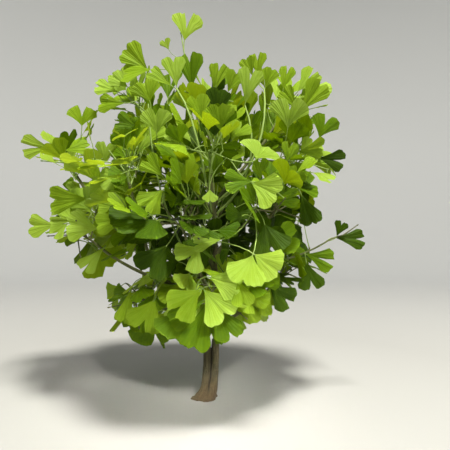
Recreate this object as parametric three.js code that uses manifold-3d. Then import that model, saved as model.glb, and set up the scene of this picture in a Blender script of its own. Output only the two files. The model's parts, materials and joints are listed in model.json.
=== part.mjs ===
// A young ginkgo tree, rooted in the ground, at its real size in millimetres.
//
// The origin is the middle of the flat cut at ground level, +Z is up, and -Y is the side
// that faces the viewer. A flared foot forks low down into two stems. The left one leans
// out as the left bough, and the right one runs up through the crown as the leader.
// Boughs leave them and end where they enter a mass of foliage. Each mass is one twig that
// branches by a seeded rule inside its own space, with fan-shaped leaves on long stalks.
import * as THREE from "three";
import { mergeVertices } from "three/addons/utils/BufferGeometryUtils.js";
import Module from "manifold-3d";

const wasm = await Module();
wasm.setup();

// Driving dimensions of the wood

const CLEARANCE = 0.3; // between separate solids
const FORK_HEIGHT = 52;
const FOOT = { radius: 17, middle: [4, 0], flareHeight: 30, waistRadius: 9, waistMiddle: [11, 0] };
// A root swelling: its direction in degrees, how far it stands out and how sharp it is.
const ROOT_SWELLINGS = [
  { heading: 188, reach: 7, sharpness: 5 },
  { heading: 295, reach: 4, sharpness: 4 },
  { heading: 40, reach: 5, sharpness: 4 },
];
// The roots of the stems, which the fork's height cuts flat.
const STUBS = [
  { foot: [5, 0, 0], top: [7.7, 0, FORK_HEIGHT + 4], radii: [8.2, 6.5] },
  { foot: [15, 0, 0], top: [21.2, 0, FORK_HEIGHT + 4], radii: [8, 6] },
];

// The two stems run through guide points to their tips.
const STEMS = [
  { name: "stem_left", foot: [7.4, 0, FORK_HEIGHT - 4], tip: [1.5, -3, 126], radii: [6.5, 5.2],
    guides: [[8.2, 0, 76], [7.4, -1, 104]] },
  { name: "leader", foot: [20.6, 0, FORK_HEIGHT - 4], tip: [8, -8, 460], radii: [6, 2.3],
    guides: [[25, 2, 155], [24, 10, 300]] },
];

// Each bough leaves its parent at a share of the parent's length, or goes on from its tip
// where that share is 1, and ends short of the middle of its own mass of foliage.
const BOUGHS = [
  { name: "left", parent: "stem_left", at: 1, mass: "left_outer", radii: [5, 2.5] },
  { name: "left_up", parent: "bough_left", at: 0.5, mass: "left_inner", radii: [3, 2.3] },
  { name: "left_side", parent: "bough_left", at: 0.33, mass: "left_side", radii: [3, 2.3] },
  { name: "left_low", parent: "bough_left", at: 0.1, mass: "left_low", radii: [2.9, 2.2] },
  { name: "left_back", parent: "bough_left", at: 0.2, mass: "left_back", radii: [3.2, 2.4] },
  { name: "front_low", parent: "leader", at: 0.12, mass: "front_low", radii: [3.4, 2.3] },
  { name: "back_low", parent: "leader", at: 0.15, mass: "back_low", radii: [3.4, 2.3] },
  { name: "right_low", parent: "leader", at: 0.18, mass: "right_low", radii: [3.6, 2.3] },
  { name: "right_back", parent: "leader", at: 0.23, mass: "right_back", radii: [3.6, 2.4] },
  { name: "front", parent: "leader", at: 0.28, mass: "front", radii: [3.6, 2.4] },
  { name: "right", parent: "leader", at: 0.33, mass: "right", radii: [3.7, 2.4] },
  { name: "back", parent: "leader", at: 0.37, mass: "back", radii: [3.4, 2.3] },
  { name: "heart", parent: "leader", at: 0.41, mass: "heart", radii: [3, 2.2] },
  { name: "left_top_back", parent: "leader", at: 0.46, mass: "left_top_back", radii: [3, 2.2] },
  { name: "right_up", parent: "leader", at: 0.5, mass: "right_up", radii: [3.2, 2.2] },
  { name: "front_up", parent: "leader", at: 0.55, mass: "front_up", radii: [3, 2.2] },
  { name: "back_up", parent: "leader", at: 0.6, mass: "back_up", radii: [3, 2.2] },
  { name: "left_top", parent: "leader", at: 0.66, mass: "left_top", radii: [3.1, 2.2] },
  { name: "right_top", parent: "leader", at: 0.7, mass: "right_top", radii: [3, 2.2] },
  { name: "spire", parent: "leader", at: 0.8, mass: "spire", radii: [2, 1.5] },
  { name: "right_tip", parent: "bough_right", at: 0.4, mass: "right_tip", radii: [1.9, 1.5] },
];
const BOUGH_STOP = 30; // from a bough's tip to the hub of its mass
const STEM_SIDES = 10;
const BOUGH_SIDES = 6;
const LIMB_STEPS = 4;
const BOUGH_SAG = 0.1; // how far a bough dips below a straight line, as a share of its length
const BOUGH_RISE = 0.12; // how far it keeps to its parent's direction at its root

// Driving dimensions of the foliage

// The crown at each height: its reach to the left, to the right, and to the front and back.
const CROWN = [
  [72, -64, 34, 150],
  [98, -152, 70, 175],
  [130, -166, 122, 190],
  [185, -168, 160, 212],
  [200, -214, 208, 220],
  [250, -226, 222, 235],
  [272, -292, 196, 238],
  [305, -292, 194, 240],
  [320, -258, 198, 238],
  [380, -258, 238, 230],
  [428, -312, 238, 220],
  [466, -312, 232, 202],
  [500, -222, 224, 180],
  [555, -194, 224, 145],
  [570, -154, 168, 118],
  [592, -150, 122, 80],
  [612, -148, 20, 50],
];
// The viewer sees the front of the crown nearer, so it narrows towards the front.
const EYE = { height: 254, side: 37, distance: 766 };
const CROWN_POWER = 2.1; // 2 makes its plan an ellipse, more makes it squarer

// Each mass keeps to the part of the crown that is nearer to its own middle than to any
// other. The two masses with a reach of their own stand out of the crown. Upright leaves
// need room over the hub where the shoots meet, so it lies lower in the higher masses.
// Its tips are where single leaves show in the tree's outline.
const MASSES = [
  { name: "left_low", middle: [-100, -56, 160], tips: [[-124, -60, 146], [-66, -70, 134]] },
  { name: "front_low", middle: [34, -104, 168], leafSize: 1.1, tips: [[6, -110, 138], [62, -140, 196]] },
  { name: "back_low", middle: [14, 108, 200] },
  { name: "right_low", middle: [138, -16, 204], tips: [[192, -20, 214], [132, -20, 170]] },
  { name: "left_side", middle: [-196, -50, 276],
    tips: [[-246, -20, 285], [-216, -50, 318], [-186, -50, 232]] },
  { name: "left_back", middle: [-130, 110, 300] },
  { name: "front", middle: [-26, -140, 290], leafSize: 1.1, tips: [[4, -170, 282]] },
  { name: "right", middle: [112, -104, 312], tips: [[110, -140, 356]] },
  { name: "right_back", middle: [128, 92, 308] },
  { name: "back", middle: [2, 160, 345] },
  { name: "heart", middle: [-40, 10, 372] },
  { name: "left_outer", middle: [-238, 0, 412],
    tips: [[-212, 0, 478], [-284, 0, 446]] },
  { name: "left_inner", middle: [-118, -84, 392] },
  { name: "front_up", middle: [14, -116, 404], tips: [[-30, -150, 372], [34, -150, 400]] },
  { name: "right_up", middle: [164, -10, 410], tips: [[212, 0, 458], [216, 0, 400]] },
  { name: "back_up", middle: [70, 110, 455] },
  { name: "left_top_back", middle: [-90, 112, 440] },
  { name: "left_top", middle: [-118, 0, 524], tips: [[-120, 0, 584], [-164, 0, 538], [-150, -30, 496]] },
  { name: "crown", middle: [10, -24, 524], from: "leader", tips: [[-16, -10, 568], [-50, -30, 546]] },
  { name: "right_top", middle: [144, 14, 514], tips: [[200, 10, 530], [106, 0, 566], [152, 10, 548]] },
  { name: "spire", middle: [-32, 0, 606], reach: [50, 46, 60], shoots: 1, leafSize: 0.95,
    tips: [[-28, 0, 640], [-62, 0, 604]] },
  { name: "right_tip", middle: [236, -14, 274], reach: [50, 50, 42], shoots: 1, leafSize: 0.62 },
];
const SPACE_GAP = 1.5; // from a leaf or a twig to the edge of its mass's space
const TWIG_RADII = [2.2, 1.5, 0.9]; // at a mass's root, at its hub and at a shoot's end
const SHOOTS = 6;
const SHOOT_LENGTH = 46; // how far from a mass's middle its shoots end
const LEAVES_PER_SHOOT = 6;
const GOLDEN_ANGLE = THREE.MathUtils.degToRad(137.5);
const PETIOLE_LENGTH = 40;
const PETIOLE_RADIUS = 0.9;
const BLADE_LENGTH = 46;
const LEAF_DRAWS = 40;
const LEAF_STRAY = 2; // how far a leaf's turn may stray from the golden angle, in radians
const TIP_DRAWS = 240;
const TIP_FACING = 32; // how far off its tip a leaf may be if it shows its face instead
const LEAF_ROOM = 24; // the least distance between the hearts of two blades
const LEAF_CLEARANCE = 2.4; // from a leaf to wood or to another leaf
const CORE_RISE = [80, 0.6]; // the height from which a leaf grows outward: a base and a share of its own
// Leaves hang low in the crown and stand upright at its top: the downward pull on a blade,
// the upward pull on its stalk, how much the blade faces the sky and how far the hub of a
// mass is over its middle, at either height.
const LOW = { height: 150, pull: 1.15, rise: 0.1, sky: 0.55, hub: 8 };
const HIGH = { height: 560, pull: -0.75, rise: 0.8, sky: 0.2, hub: -26 };
const PULL_STRAY = 0.55;
const SUN = new THREE.Vector3(0.1, -0.3, 1);

// Small vector helpers

const UP = new THREE.Vector3(0, 0, 1);
const vector = ([x, y, z]) => new THREE.Vector3(x, y, z);
const mix = (from, to, share) => from + (to - from) * share;

// The sum of vectors, each times its own share, as a unit vector.
function heading(...parts) {
  const sum = new THREE.Vector3();
  for (const [way, share] of parts) sum.addScaledVector(way, share);
  return sum.normalize();
}

// A unit vector square to another one.
function squareTo(way) {
  const side = new THREE.Vector3().crossVectors(way, UP);
  if (side.length() < 0.1) side.crossVectors(way, new THREE.Vector3(1, 0, 0));
  return side.normalize();
}

// A repeatable source of numbers from 0 to 1.
function seeded(seed) {
  let state = seed;
  return () => {
    state = (state * 48271) % 2147483647;
    return state / 2147483647;
  };
}
const between = (random, low, high) => low + (high - low) * random();

// Solids

function solidFrom(positions, triangles) {
  const geometry = new THREE.BufferGeometry()
    .setAttribute("position", new THREE.Float32BufferAttribute(positions, 3))
    .setIndex(triangles);
  const merged = mergeVertices(geometry, 1e-4);
  return new wasm.Manifold(
    new wasm.Mesh({
      numProp: 3,
      vertProperties: merged.attributes.position.array,
      triVerts: new Uint32Array(merged.index.array),
    }),
  );
}

// Closes a stack of rings, each a list of points in the same order, into one solid.
function loft(rings) {
  const sides = rings[0].length;
  const positions = rings.flat().flatMap((p) => [p.x, p.y, p.z]);
  const triangles = [];
  for (let ring = 0; ring + 1 < rings.length; ring++)
    for (let side = 0; side < sides; side++) {
      const a = ring * sides + side;
      const b = ring * sides + ((side + 1) % sides);
      triangles.push(a, b, b + sides, a, b + sides, a + sides);
    }
  const last = (rings.length - 1) * sides;
  for (let side = 1; side + 1 < sides; side++) {
    triangles.push(0, side + 1, side);
    triangles.push(last, last + side, last + side + 1);
  }
  return solidFrom(positions, triangles);
}

// A tapering tube along a curve, with flat ends, grown all round by an allowance.
function tube(curve, radii, sides, steps, allowance = 0) {
  const rings = [];
  let across = squareTo(curve.getTangent(0));
  for (let step = 0; step <= steps; step++) {
    const t = step / steps;
    const way = curve.getTangent(t);
    across.addScaledVector(way, -across.dot(way)).normalize();
    const up = new THREE.Vector3().crossVectors(way, across);
    const middle = curve.getPoint(t);
    const radius = mix(radii[0], radii[1], t) + allowance;
    const ring = [];
    for (let side = 0; side < sides; side++) {
      const turn = (2 * Math.PI * side) / sides;
      ring.push(
        middle
          .clone()
          .addScaledVector(across, radius * Math.cos(turn))
          .addScaledVector(up, radius * Math.sin(turn)),
      );
    }
    rings.push(ring);
  }
  return loft(rings);
}

const joined = (solids) => wasm.Manifold.union(solids);

// The largest body of a solid: a scrap that a cut leaves is dropped.
function largestBody(solid) {
  return solid.decompose().reduce((best, body) => (body.volume() > best.volume() ? body : best));
}

function meshFrom(solid, name, material) {
  const { numProp, vertProperties, triVerts } = solid.getMesh();
  const positions = [];
  for (let i = 0; i < vertProperties.length; i += numProp)
    positions.push(vertProperties[i], vertProperties[i + 1], vertProperties[i + 2]);
  const geometry = new THREE.BufferGeometry()
    .setAttribute("position", new THREE.Float32BufferAttribute(positions, 3))
    .setIndex([...triVerts]);
  geometry.computeVertexNormals();
  const mesh = new THREE.Mesh(geometry, material);
  mesh.name = name;
  return mesh;
}

// The trunk: the flared foot and the roots of both stems, up to the fork

function footRing(height) {
  const rise = Math.min(height / FOOT.flareHeight, 1);
  const eased = rise ** 0.5;
  const ring = [];
  const sides = 16;
  for (let side = 0; side < sides; side++) {
    const turn = (2 * Math.PI * side) / sides;
    let radius = mix(FOOT.radius, FOOT.waistRadius, eased);
    for (const swelling of ROOT_SWELLINGS) {
      const facing = Math.cos(turn - THREE.MathUtils.degToRad(swelling.heading));
      radius += swelling.reach * Math.max(0, facing) ** swelling.sharpness * (1 - rise) ** 1.6;
    }
    ring.push(
      new THREE.Vector3(
        mix(FOOT.middle[0], FOOT.waistMiddle[0], eased) + radius * Math.cos(turn),
        mix(FOOT.middle[1], FOOT.waistMiddle[1], eased) + radius * Math.sin(turn),
        height,
      ),
    );
  }
  return ring;
}

function makeTrunk() {
  const foot = loft([0, 4, 9, 17, FOOT.flareHeight].map(footRing));
  const stubs = STUBS.map(({ foot, top, radii }) =>
    tube(new THREE.LineCurve3(vector(foot), vector(top)), radii, 12, 3),
  );
  const whole = joined([foot, ...stubs]);
  return whole.trimByPlane([0, 0, 1], 0).trimByPlane([0, 0, -1], -FORK_HEIGHT);
}

// Limbs

// How high a point is in the crown, from 0 where leaves hang to 1 where they stand.
const risen = (z) => THREE.MathUtils.clamp((z - LOW.height) / (HIGH.height - LOW.height), 0, 1);

function hubOf({ middle }) {
  return vector(middle).addScaledVector(UP, mix(LOW.hub, HIGH.hub, risen(middle[2])));
}

// A bough leaves its parent partly along the parent's own direction, dips and then rises.
function boughCurve({ at, mass }, parent) {
  const along = parent.curve.getTangent(at);
  const foot = parent.curve.getPoint(at);
  if (at === 1) foot.addScaledVector(along, CLEARANCE);
  const hub = hubOf(MASSES.find(({ name }) => name === mass));
  const tip = hub.clone().addScaledVector(foot.clone().sub(hub).normalize(), BOUGH_STOP);
  const length = foot.distanceTo(tip);
  const first = foot.clone().addScaledVector(along, length * BOUGH_RISE);
  if (at < 1) first.lerp(tip, 0.2);
  const second = foot.clone().lerp(tip, 0.6).addScaledVector(UP, -length * BOUGH_SAG);
  return new THREE.CubicBezierCurve3(foot, first, second, tip);
}

function growLimbs() {
  const limbs = new Map();
  for (const stem of STEMS) {
    const points = [stem.foot, ...stem.guides, stem.tip].map(vector);
    limbs.set(stem.name, { ...stem, curve: new THREE.CubicBezierCurve3(...points) });
  }
  for (const bough of BOUGHS) {
    const name = `bough_${bough.name}`;
    limbs.set(name, { ...bough, name, curve: boughCurve(bough, limbs.get(bough.parent)) });
  }
  return limbs;
}

function limbSolid(limb, limbs) {
  const sidesOf = ({ parent }) => (parent ? BOUGH_SIDES : STEM_SIDES);
  let solid = tube(limb.curve, limb.radii, sidesOf(limb), LIMB_STEPS);
  if (!limb.parent) solid = solid.trimByPlane([0, 0, 1], FORK_HEIGHT + CLEARANCE);
  if (limb.at < 1) {
    const parent = limbs.get(limb.parent);
    solid = solid.subtract(tube(parent.curve, parent.radii, sidesOf(parent), LIMB_STEPS, CLEARANCE));
  }
  return largestBody(solid);
}

// Evenly spaced points inside all wood, each with the wood's radius there.
function woodPoints(limbs) {
  const points = [];
  const add = (curve, radii, steps) => {
    for (let step = 0; step <= steps; step++) {
      const t = step / steps;
      points.push({ place: curve.getPoint(t), radius: mix(radii[0], radii[1], t) });
    }
  };
  for (const { curve, radii } of limbs.values()) add(curve, radii, 40);
  for (const { foot, top, radii } of STUBS) add(new THREE.LineCurve3(vector(foot), vector(top)), radii, 8);
  return points;
}

// The space of each mass

// True if a point is inside the crown as a whole.
function inCrown({ x, y, z }) {
  const nearer = EYE.distance / (EYE.distance + Math.min(y, 0));
  const seenX = EYE.side + (x - EYE.side) * nearer;
  const seenZ = EYE.height + (z - EYE.height) * nearer;
  const above = CROWN.findIndex(([height]) => height > seenZ);
  if (above < 1) return false;
  const [low, high] = [CROWN[above - 1], CROWN[above]];
  const share = (seenZ - low[0]) / (high[0] - low[0]);
  const [left, right, depth] = [1, 2, 3].map((column) => mix(low[column], high[column], share));
  const sideways = Math.abs(seenX - (left + right) / 2) / ((right - left) / 2);
  return sideways ** CROWN_POWER + Math.abs(y / depth) ** CROWN_POWER < 1;
}

function inReach({ middle, reach }, point) {
  const [x, y, z] = middle;
  const [rx, ry, rz] = reach;
  return Math.hypot((point.x - x) / rx, (point.y - y) / ry, (point.z - z) / rz) < 1;
}

function inSpaceOf(mass, point) {
  if (!(mass.reach ? inReach(mass, point) : inCrown(point))) return false;
  const own = vector(mass.middle).distanceTo(point);
  return MASSES.every((other) => {
    if (other === mass) return true;
    const apart = vector(other.middle).distanceTo(vector(mass.middle));
    const further = vector(other.middle).distanceTo(point);
    return further ** 2 - own ** 2 > 2 * apart * SPACE_GAP;
  });
}

// Leaves

const RIM_STATIONS = [-1, -0.5, 0, 0.5, 1];
const BLADE_SAMPLES = [1, 0.75, 0.5].flatMap((t) => [-1, -0.5, 0, 0.5, 1].map((a) => [a, t]));

// How far the blade's rim is from its base at a share of its half angle, less the cleft.
function rimReach(leaf, a) {
  return 1 - 0.14 * a ** 4 - leaf.cleft * Math.exp(-((a / 0.1) ** 2));
}

// The blade's height over its own plane: a fold along the middle, a twist, a wave round
// the rim and a bend towards it.
function bladeHeight(leaf, angle, t) {
  const fold = leaf.fold * Math.abs(Math.sin(angle)) + leaf.twist * Math.sin(angle);
  const wave = 0.05 * Math.sin(3.1 * angle + leaf.phase);
  return leaf.length * (t * (fold + wave) - leaf.bend * t * t);
}

// A point of the blade at a share of its half angle and of its length.
function bladePoint(leaf, a, t) {
  const angle = a * leaf.halfAngle;
  const reach = leaf.length * t * rimReach(leaf, a);
  return leaf.base
    .clone()
    .addScaledVector(leaf.way, reach * Math.cos(angle))
    .addScaledVector(leaf.side, reach * Math.sin(angle))
    .addScaledVector(leaf.normal, bladeHeight(leaf, angle, t));
}

// Draws one leaf at a place on a shoot. Stalks spread round the shoot by the golden angle
// and lean outward. Blades face the sky and droop, more so low in the crown.
function drawLeaf(random, node, along, turn, stray, size) {
  const round = turn + between(random, -stray, stray);
  const radial = squareTo(along).applyAxisAngle(along, round);
  const core = new THREE.Vector3(0, 0, CORE_RISE[0] + CORE_RISE[1] * node.z);
  const outward = node.clone().sub(core).normalize();
  const [pull, rise, sky] = ["pull", "rise", "sky"].map((key) => mix(LOW[key], HIGH[key], risen(node.z)));
  const leaving = heading([radial, 0.75], [along, 0.35], [outward, 0.6], [UP, rise]);
  const way = heading([leaving, 1], [outward, 0.2], [UP, -pull + between(random, -PULL_STRAY, PULL_STRAY)]);
  const facing = heading([SUN, sky], [outward, 0.8]);
  const normal = facing.addScaledVector(way, -facing.dot(way));
  if (normal.length() < 0.05) normal.copy(squareTo(way));
  normal.normalize().applyAxisAngle(way, between(random, -0.7, 0.7));
  const petiole = PETIOLE_LENGTH * size * between(random, 0.35, 1.2);
  const length = BLADE_LENGTH * size * between(random, 0.8, 1.15);
  const leaf = {
    node: node.clone(), leaving, way, normal, petiole, length,
    side: new THREE.Vector3().crossVectors(way, normal),
    base: node.clone().addScaledVector(leaving, petiole * 0.6).addScaledVector(way, petiole * 0.4),
    halfAngle: between(random, 0.8, 1.15),
    cleft: between(random, 0.1, 0.45),
    fold: between(random, -0.1, 0.3),
    twist: between(random, -0.15, 0.15),
    bend: between(random, -0.02, 0.16),
    phase: between(random, 0, 6.28),
  };
  leaf.blade = BLADE_SAMPLES.map(([a, t]) => bladePoint(leaf, a, t));
  leaf.stalk = [0.4, 0.7, 1].map((t) => leaf.node.clone().lerp(leaf.base, t));
  leaf.heart = bladePoint(leaf, 0.3, 0.6);
  return leaf;
}

// The height of a point over a blade, or nothing where it isn't over or under it.
function heightOver(leaf, point, margin) {
  const from = point.clone().sub(leaf.base);
  const u = from.dot(leaf.way);
  const v = from.dot(leaf.side);
  const reach = Math.hypot(u, v);
  if (reach > leaf.length + margin) return null;
  const angle = Math.atan2(v, u);
  if (Math.abs(angle) > leaf.halfAngle + margin / Math.max(reach, margin)) return null;
  return from.dot(leaf.normal) - bladeHeight(leaf, angle, Math.min(reach / leaf.length, 1));
}

// True if wood of this radius at this place would touch the blade.
function bladeTouches(leaf, place, radius) {
  const room = radius + LEAF_CLEARANCE;
  const height = heightOver(leaf, place, room);
  return height !== null && Math.abs(height) < room;
}

// True if one leaf comes through the other's blade, or lies against it.
function passesThrough(leaf, blade) {
  let above = false;
  let below = false;
  for (const point of [...leaf.blade, ...leaf.stalk]) {
    const height = heightOver(blade, point, 0);
    if (height === null) continue;
    if (Math.abs(height) < LEAF_CLEARANCE) return true;
    if (height > 0) above = true;
    else below = true;
  }
  return above && below;
}

function leafFits(leaf, mass, wood, twigs, others) {
  if (![...leaf.blade, ...leaf.stalk].every((point) => inSpaceOf(mass, point))) return false;
  if (wood.some(({ place, radius }) => bladeTouches(leaf, place, radius))) return false;
  const nearWood = ({ place, radius }) =>
    leaf.stalk.some((point) => point.distanceTo(place) < radius + LEAF_CLEARANCE);
  if (wood.some(nearWood)) return false;
  if (twigs.some(({ place, radius }) => bladeTouches(leaf, place, radius))) return false;
  return !others.some((other) => passesThrough(leaf, other) || passesThrough(other, leaf));
}

// One closed leaf: a three-sided petiole that spreads into a fan, thinning to its rim.
function leafSolid(leaf) {
  const way = leaf.base.clone().sub(leaf.node).normalize();
  const top = leaf.normal.clone().addScaledVector(way, -leaf.normal.dot(way)).normalize();
  const right = new THREE.Vector3().crossVectors(way, top);
  const ring = (middle) => [
    middle.clone().addScaledVector(right, -PETIOLE_RADIUS),
    middle.clone().addScaledVector(top, PETIOLE_RADIUS * 1.2),
    middle.clone().addScaledVector(right, PETIOLE_RADIUS),
  ];
  const rim = RIM_STATIONS.map((a) => bladePoint(leaf, a, 1));
  const points = [...ring(leaf.node), ...ring(leaf.base), ...rim];
  const triangles = [0, 2, 1];
  for (const [side, next] of [[0, 1], [1, 2], [2, 0]])
    triangles.push(side, next, next + 3, side, next + 3, side + 3);
  const [left, middle, end] = [3, 4, 5];
  const edge = [left, ...rim.map((_, i) => 6 + i), end];
  for (let i = 0; i + 1 < edge.length; i++) {
    triangles.push(middle, edge[i + 1], edge[i]);
    if (i > 0) triangles.push(left, edge[i], edge[i + 1]);
  }
  return solidFrom(points.flatMap((p) => [p.x, p.y, p.z]), triangles);
}

// Masses

// Directions spread evenly over a sphere.
function evenDirection(index, count, spin) {
  const z = 1 - (2 * index + 1) / count;
  const r = Math.sqrt(1 - z * z);
  const turn = index * GOLDEN_ANGLE + spin;
  return new THREE.Vector3(r * Math.cos(turn), r * Math.sin(turn), z);
}

// The stem runs from the tip of its bough to the hub, and shoots leave it all round.
function growTwigs(mass, limb, wood, random) {
  const along = limb.curve.getTangent(1);
  const root = limb.curve.getPoint(1).addScaledVector(along, CLEARANCE);
  const hub = root.clone().lerp(hubOf(mass), 1.1);
  const guide = root.clone().addScaledVector(along, root.distanceTo(hub) * 0.4);
  const stem = {
    curve: new THREE.QuadraticBezierCurve3(root, guide, hub),
    radii: [Math.min(limb.radii[1], TWIG_RADII[0]), TWIG_RADII[1]],
  };
  const count = mass.shoots ?? SHOOTS;
  const shoots = [];
  const spin = between(random, 0, 2 * Math.PI);
  for (let i = 0; i < count; i++) {
    const at = count === 1 ? 0.9 : mix(0.3, 0.98, i / (count - 1));
    const foot = stem.curve.getPoint(at);
    const aside = count === 1 ? along : evenDirection(i, count, spin);
    const way = heading([aside, 1], [UP, 0.25], [stem.curve.getTangent(at), 0.4]);
    let length = SHOOT_LENGTH * (mass.leafSize ?? 1);
    for (let trial = 0; trial < 5; trial++) {
      const curve = new THREE.LineCurve3(foot, foot.clone().addScaledVector(way, length));
      length *= 0.8;
      if (!twigFits(curve, mass, wood)) continue;
      shoots.push({ curve, radii: TWIG_RADII.slice(1) });
      break;
    }
  }
  return { stem, shoots };
}

function twigFits(curve, mass, wood) {
  return [0.25, 0.5, 0.75, 1].every((t) => {
    const point = curve.getPoint(t);
    if (!inSpaceOf(mass, point)) return false;
    return wood.every(({ place, radius }) => point.distanceTo(place) > radius + LEAF_CLEARANCE);
  });
}

function twigPoints({ stem, shoots }) {
  return [stem, ...shoots].flatMap(({ curve, radii }) =>
    [0, 0.2, 0.4, 0.6, 0.8, 1].map((t) => ({ place: curve.getPoint(t), radius: radii[0] })),
  );
}

// How far a new blade would be from the nearest blade that has already grown.
function roomFor(leaf, grown) {
  return Math.min(...grown.map((other) => other.heart.distanceTo(leaf.heart)), 200);
}

// Draws leaves at places from the shoots, and returns the fitting one with the best score.
function bestLeaf(draws, draw, score, fits) {
  let best = null;
  let highest = -Infinity;
  for (let i = 0; i < draws; i++) {
    const leaf = draw();
    if (!fits(leaf)) continue;
    const points = score(leaf);
    if (points <= highest) continue;
    best = leaf;
    highest = points;
  }
  return best;
}

// Leaves reach for the mass's tips first. Then each place on a shoot draws several leaves,
// and the one with the most room grows.
function growLeaves(mass, twigs, wood, grown, random) {
  const leaves = [];
  const points = twigPoints(twigs);
  const size = mass.leafSize ?? 1;
  const fits = (leaf) => leafFits(leaf, mass, wood, points, leaves);
  const grow = (leaf) => {
    if (!leaf) return;
    leaves.push(leaf);
    grown.push(leaf);
  };
  for (const tip of mass.tips ?? []) {
    const draw = () => {
      const { curve } = twigs.shoots[Math.floor(random() * twigs.shoots.length)];
      const t = between(random, 0.3, 1);
      return drawLeaf(random, curve.getPoint(t), curve.getTangent(t), 0, Math.PI, size);
    };
    const score = (leaf) => TIP_FACING * Math.abs(leaf.normal.y) - leaf.heart.distanceTo(vector(tip));
    grow(bestLeaf(TIP_DRAWS, draw, score, fits));
  }
  let turn = 0;
  for (const { curve } of twigs.shoots) {
    for (let i = 0; i < LEAVES_PER_SHOOT; i++) {
      const t = mix(0.15, 1, i / (LEAVES_PER_SHOOT - 1));
      turn += GOLDEN_ANGLE;
      const draw = () => drawLeaf(random, curve.getPoint(t), curve.getTangent(t), turn, LEAF_STRAY, size);
      const score = (leaf) => roomFor(leaf, grown);
      const free = (leaf) => fits(leaf) && roomFor(leaf, grown) > LEAF_ROOM;
      grow(bestLeaf(LEAF_DRAWS, draw, score, free));
    }
  }
  return leaves;
}

function massSolid({ stem, shoots }, leaves) {
  const twigs = [tube(stem.curve, stem.radii, 3, 2), ...shoots.map(({ curve, radii }) => tube(curve, radii, 3, 1))];
  const whole = largestBody(joined([...twigs, ...leaves.map(leafSolid)]));
  return largestBody(whole.asOriginal().simplify(0.3));
}

// Materials

const bark = new THREE.MeshStandardMaterial({ color: "#7d6b4c", roughness: 0.9, metalness: 0 });
const youngBark = new THREE.MeshStandardMaterial({ color: "#7f8f45", roughness: 0.75, metalness: 0 });
const sunlitLeaf = new THREE.MeshStandardMaterial({ color: "#9cc437", roughness: 0.55, metalness: 0 });
const innerLeaf = new THREE.MeshStandardMaterial({ color: "#6f9c22", roughness: 0.55, metalness: 0 });

// The tree

const tree = new THREE.Group();
const limbs = growLimbs();
const wood = woodPoints(limbs);

tree.add(meshFrom(makeTrunk(), "trunk", bark));
for (const limb of limbs.values()) {
  const material = limb.radii[0] < 2.5 ? youngBark : bark;
  tree.add(meshFrom(limbSolid(limb, limbs), limb.name, material));
}
const grown = [];
let seed = 1000;
for (const mass of MASSES) {
  seed += 77;
  const random = seeded(seed);
  const limb = [...limbs.values()].find((one) => one.mass === mass.name || one.name === mass.from);
  const twigs = growTwigs(mass, limb, wood, random);
  const leaves = growLeaves(mass, twigs, wood, grown, random);
  const material = mass.middle[2] > 300 ? sunlitLeaf : innerLeaf;
  tree.add(meshFrom(massSolid(twigs, leaves), `foliage_${mass.name}`, material));
}

export default tree;
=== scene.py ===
# A young ginkgo tree: its bark, twigs and leaves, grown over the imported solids.
#
# The limbs and leaves come from the rule that made the solids, written here again with the
# same named sizes and seeds. It then goes on to finer spurs and to younger leaves. The rule
# works in millimetres, and meshes are made in metres. The tree stands at the origin with +Z
# up, and -Y faces the viewer.
import json
import math
from dataclasses import dataclass, replace
from typing import NamedTuple

import bmesh
import bpy
import numpy as np
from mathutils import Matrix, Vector, kdtree, noise

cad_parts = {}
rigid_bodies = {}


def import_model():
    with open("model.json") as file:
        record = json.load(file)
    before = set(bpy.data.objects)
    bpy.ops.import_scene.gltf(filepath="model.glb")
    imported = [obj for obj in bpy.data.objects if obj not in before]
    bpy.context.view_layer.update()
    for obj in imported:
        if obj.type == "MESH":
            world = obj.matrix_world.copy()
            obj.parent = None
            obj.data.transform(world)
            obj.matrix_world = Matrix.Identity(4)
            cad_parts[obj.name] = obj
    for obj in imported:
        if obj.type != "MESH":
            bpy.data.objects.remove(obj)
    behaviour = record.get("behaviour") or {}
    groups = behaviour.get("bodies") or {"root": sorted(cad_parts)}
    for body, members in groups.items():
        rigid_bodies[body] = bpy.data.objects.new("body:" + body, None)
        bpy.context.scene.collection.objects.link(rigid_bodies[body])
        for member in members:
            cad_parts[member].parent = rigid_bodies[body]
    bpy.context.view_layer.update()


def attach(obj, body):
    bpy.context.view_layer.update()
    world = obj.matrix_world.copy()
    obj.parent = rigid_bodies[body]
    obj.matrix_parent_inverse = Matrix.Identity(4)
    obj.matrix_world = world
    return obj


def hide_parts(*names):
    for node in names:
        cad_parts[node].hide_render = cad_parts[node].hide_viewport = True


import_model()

METRES = 0.001  # one millimetre of the growth rule
TREE_BODY = "root"

# What the tables hold


class Swelling(NamedTuple):
    """A root that swells the foot: its direction in degrees, how far and how sharply."""

    heading: float
    reach: float
    sharpness: float


class Bough(NamedTuple):
    """A limb that leaves its parent at a share of its length."""

    parent: str
    at: float
    radii: tuple


class Mass(NamedTuple):
    """A mass of foliage, with the places where single leaves show in the tree's outline."""

    name: str
    middle: tuple
    tips: tuple = ()
    leaf_size: float = 1
    shoots: int = 6
    reach: tuple = None
    limb: str = None

    def carrier(self):
        """The name of the limb that carries this mass."""
        return self.limb or f"bough_{self.name}"

    def holds(self, points):
        """True for points that are nearer to this mass's middle than to any other."""
        own = MASSES.index(self)
        if self.reach:
            inside = length_of((points - MIDDLES[own]) / self.reach) < 1
        else:
            inside = in_crown(points)
        away = length_of(points[..., None, :] - MIDDLES)
        apart = length_of(MIDDLES - MIDDLES[own])
        nearer = away**2 - away[..., [own]] ** 2 > 2 * apart * SPACE_GAP
        nearer[..., own] = True
        return inside & nearer.all(axis=-1)


class Habit(NamedTuple):
    """How leaves grow at a height: how they are pulled down, rise and face the sky."""

    height: float
    pull: float
    rise: float
    sky: float
    hub: float


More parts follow.
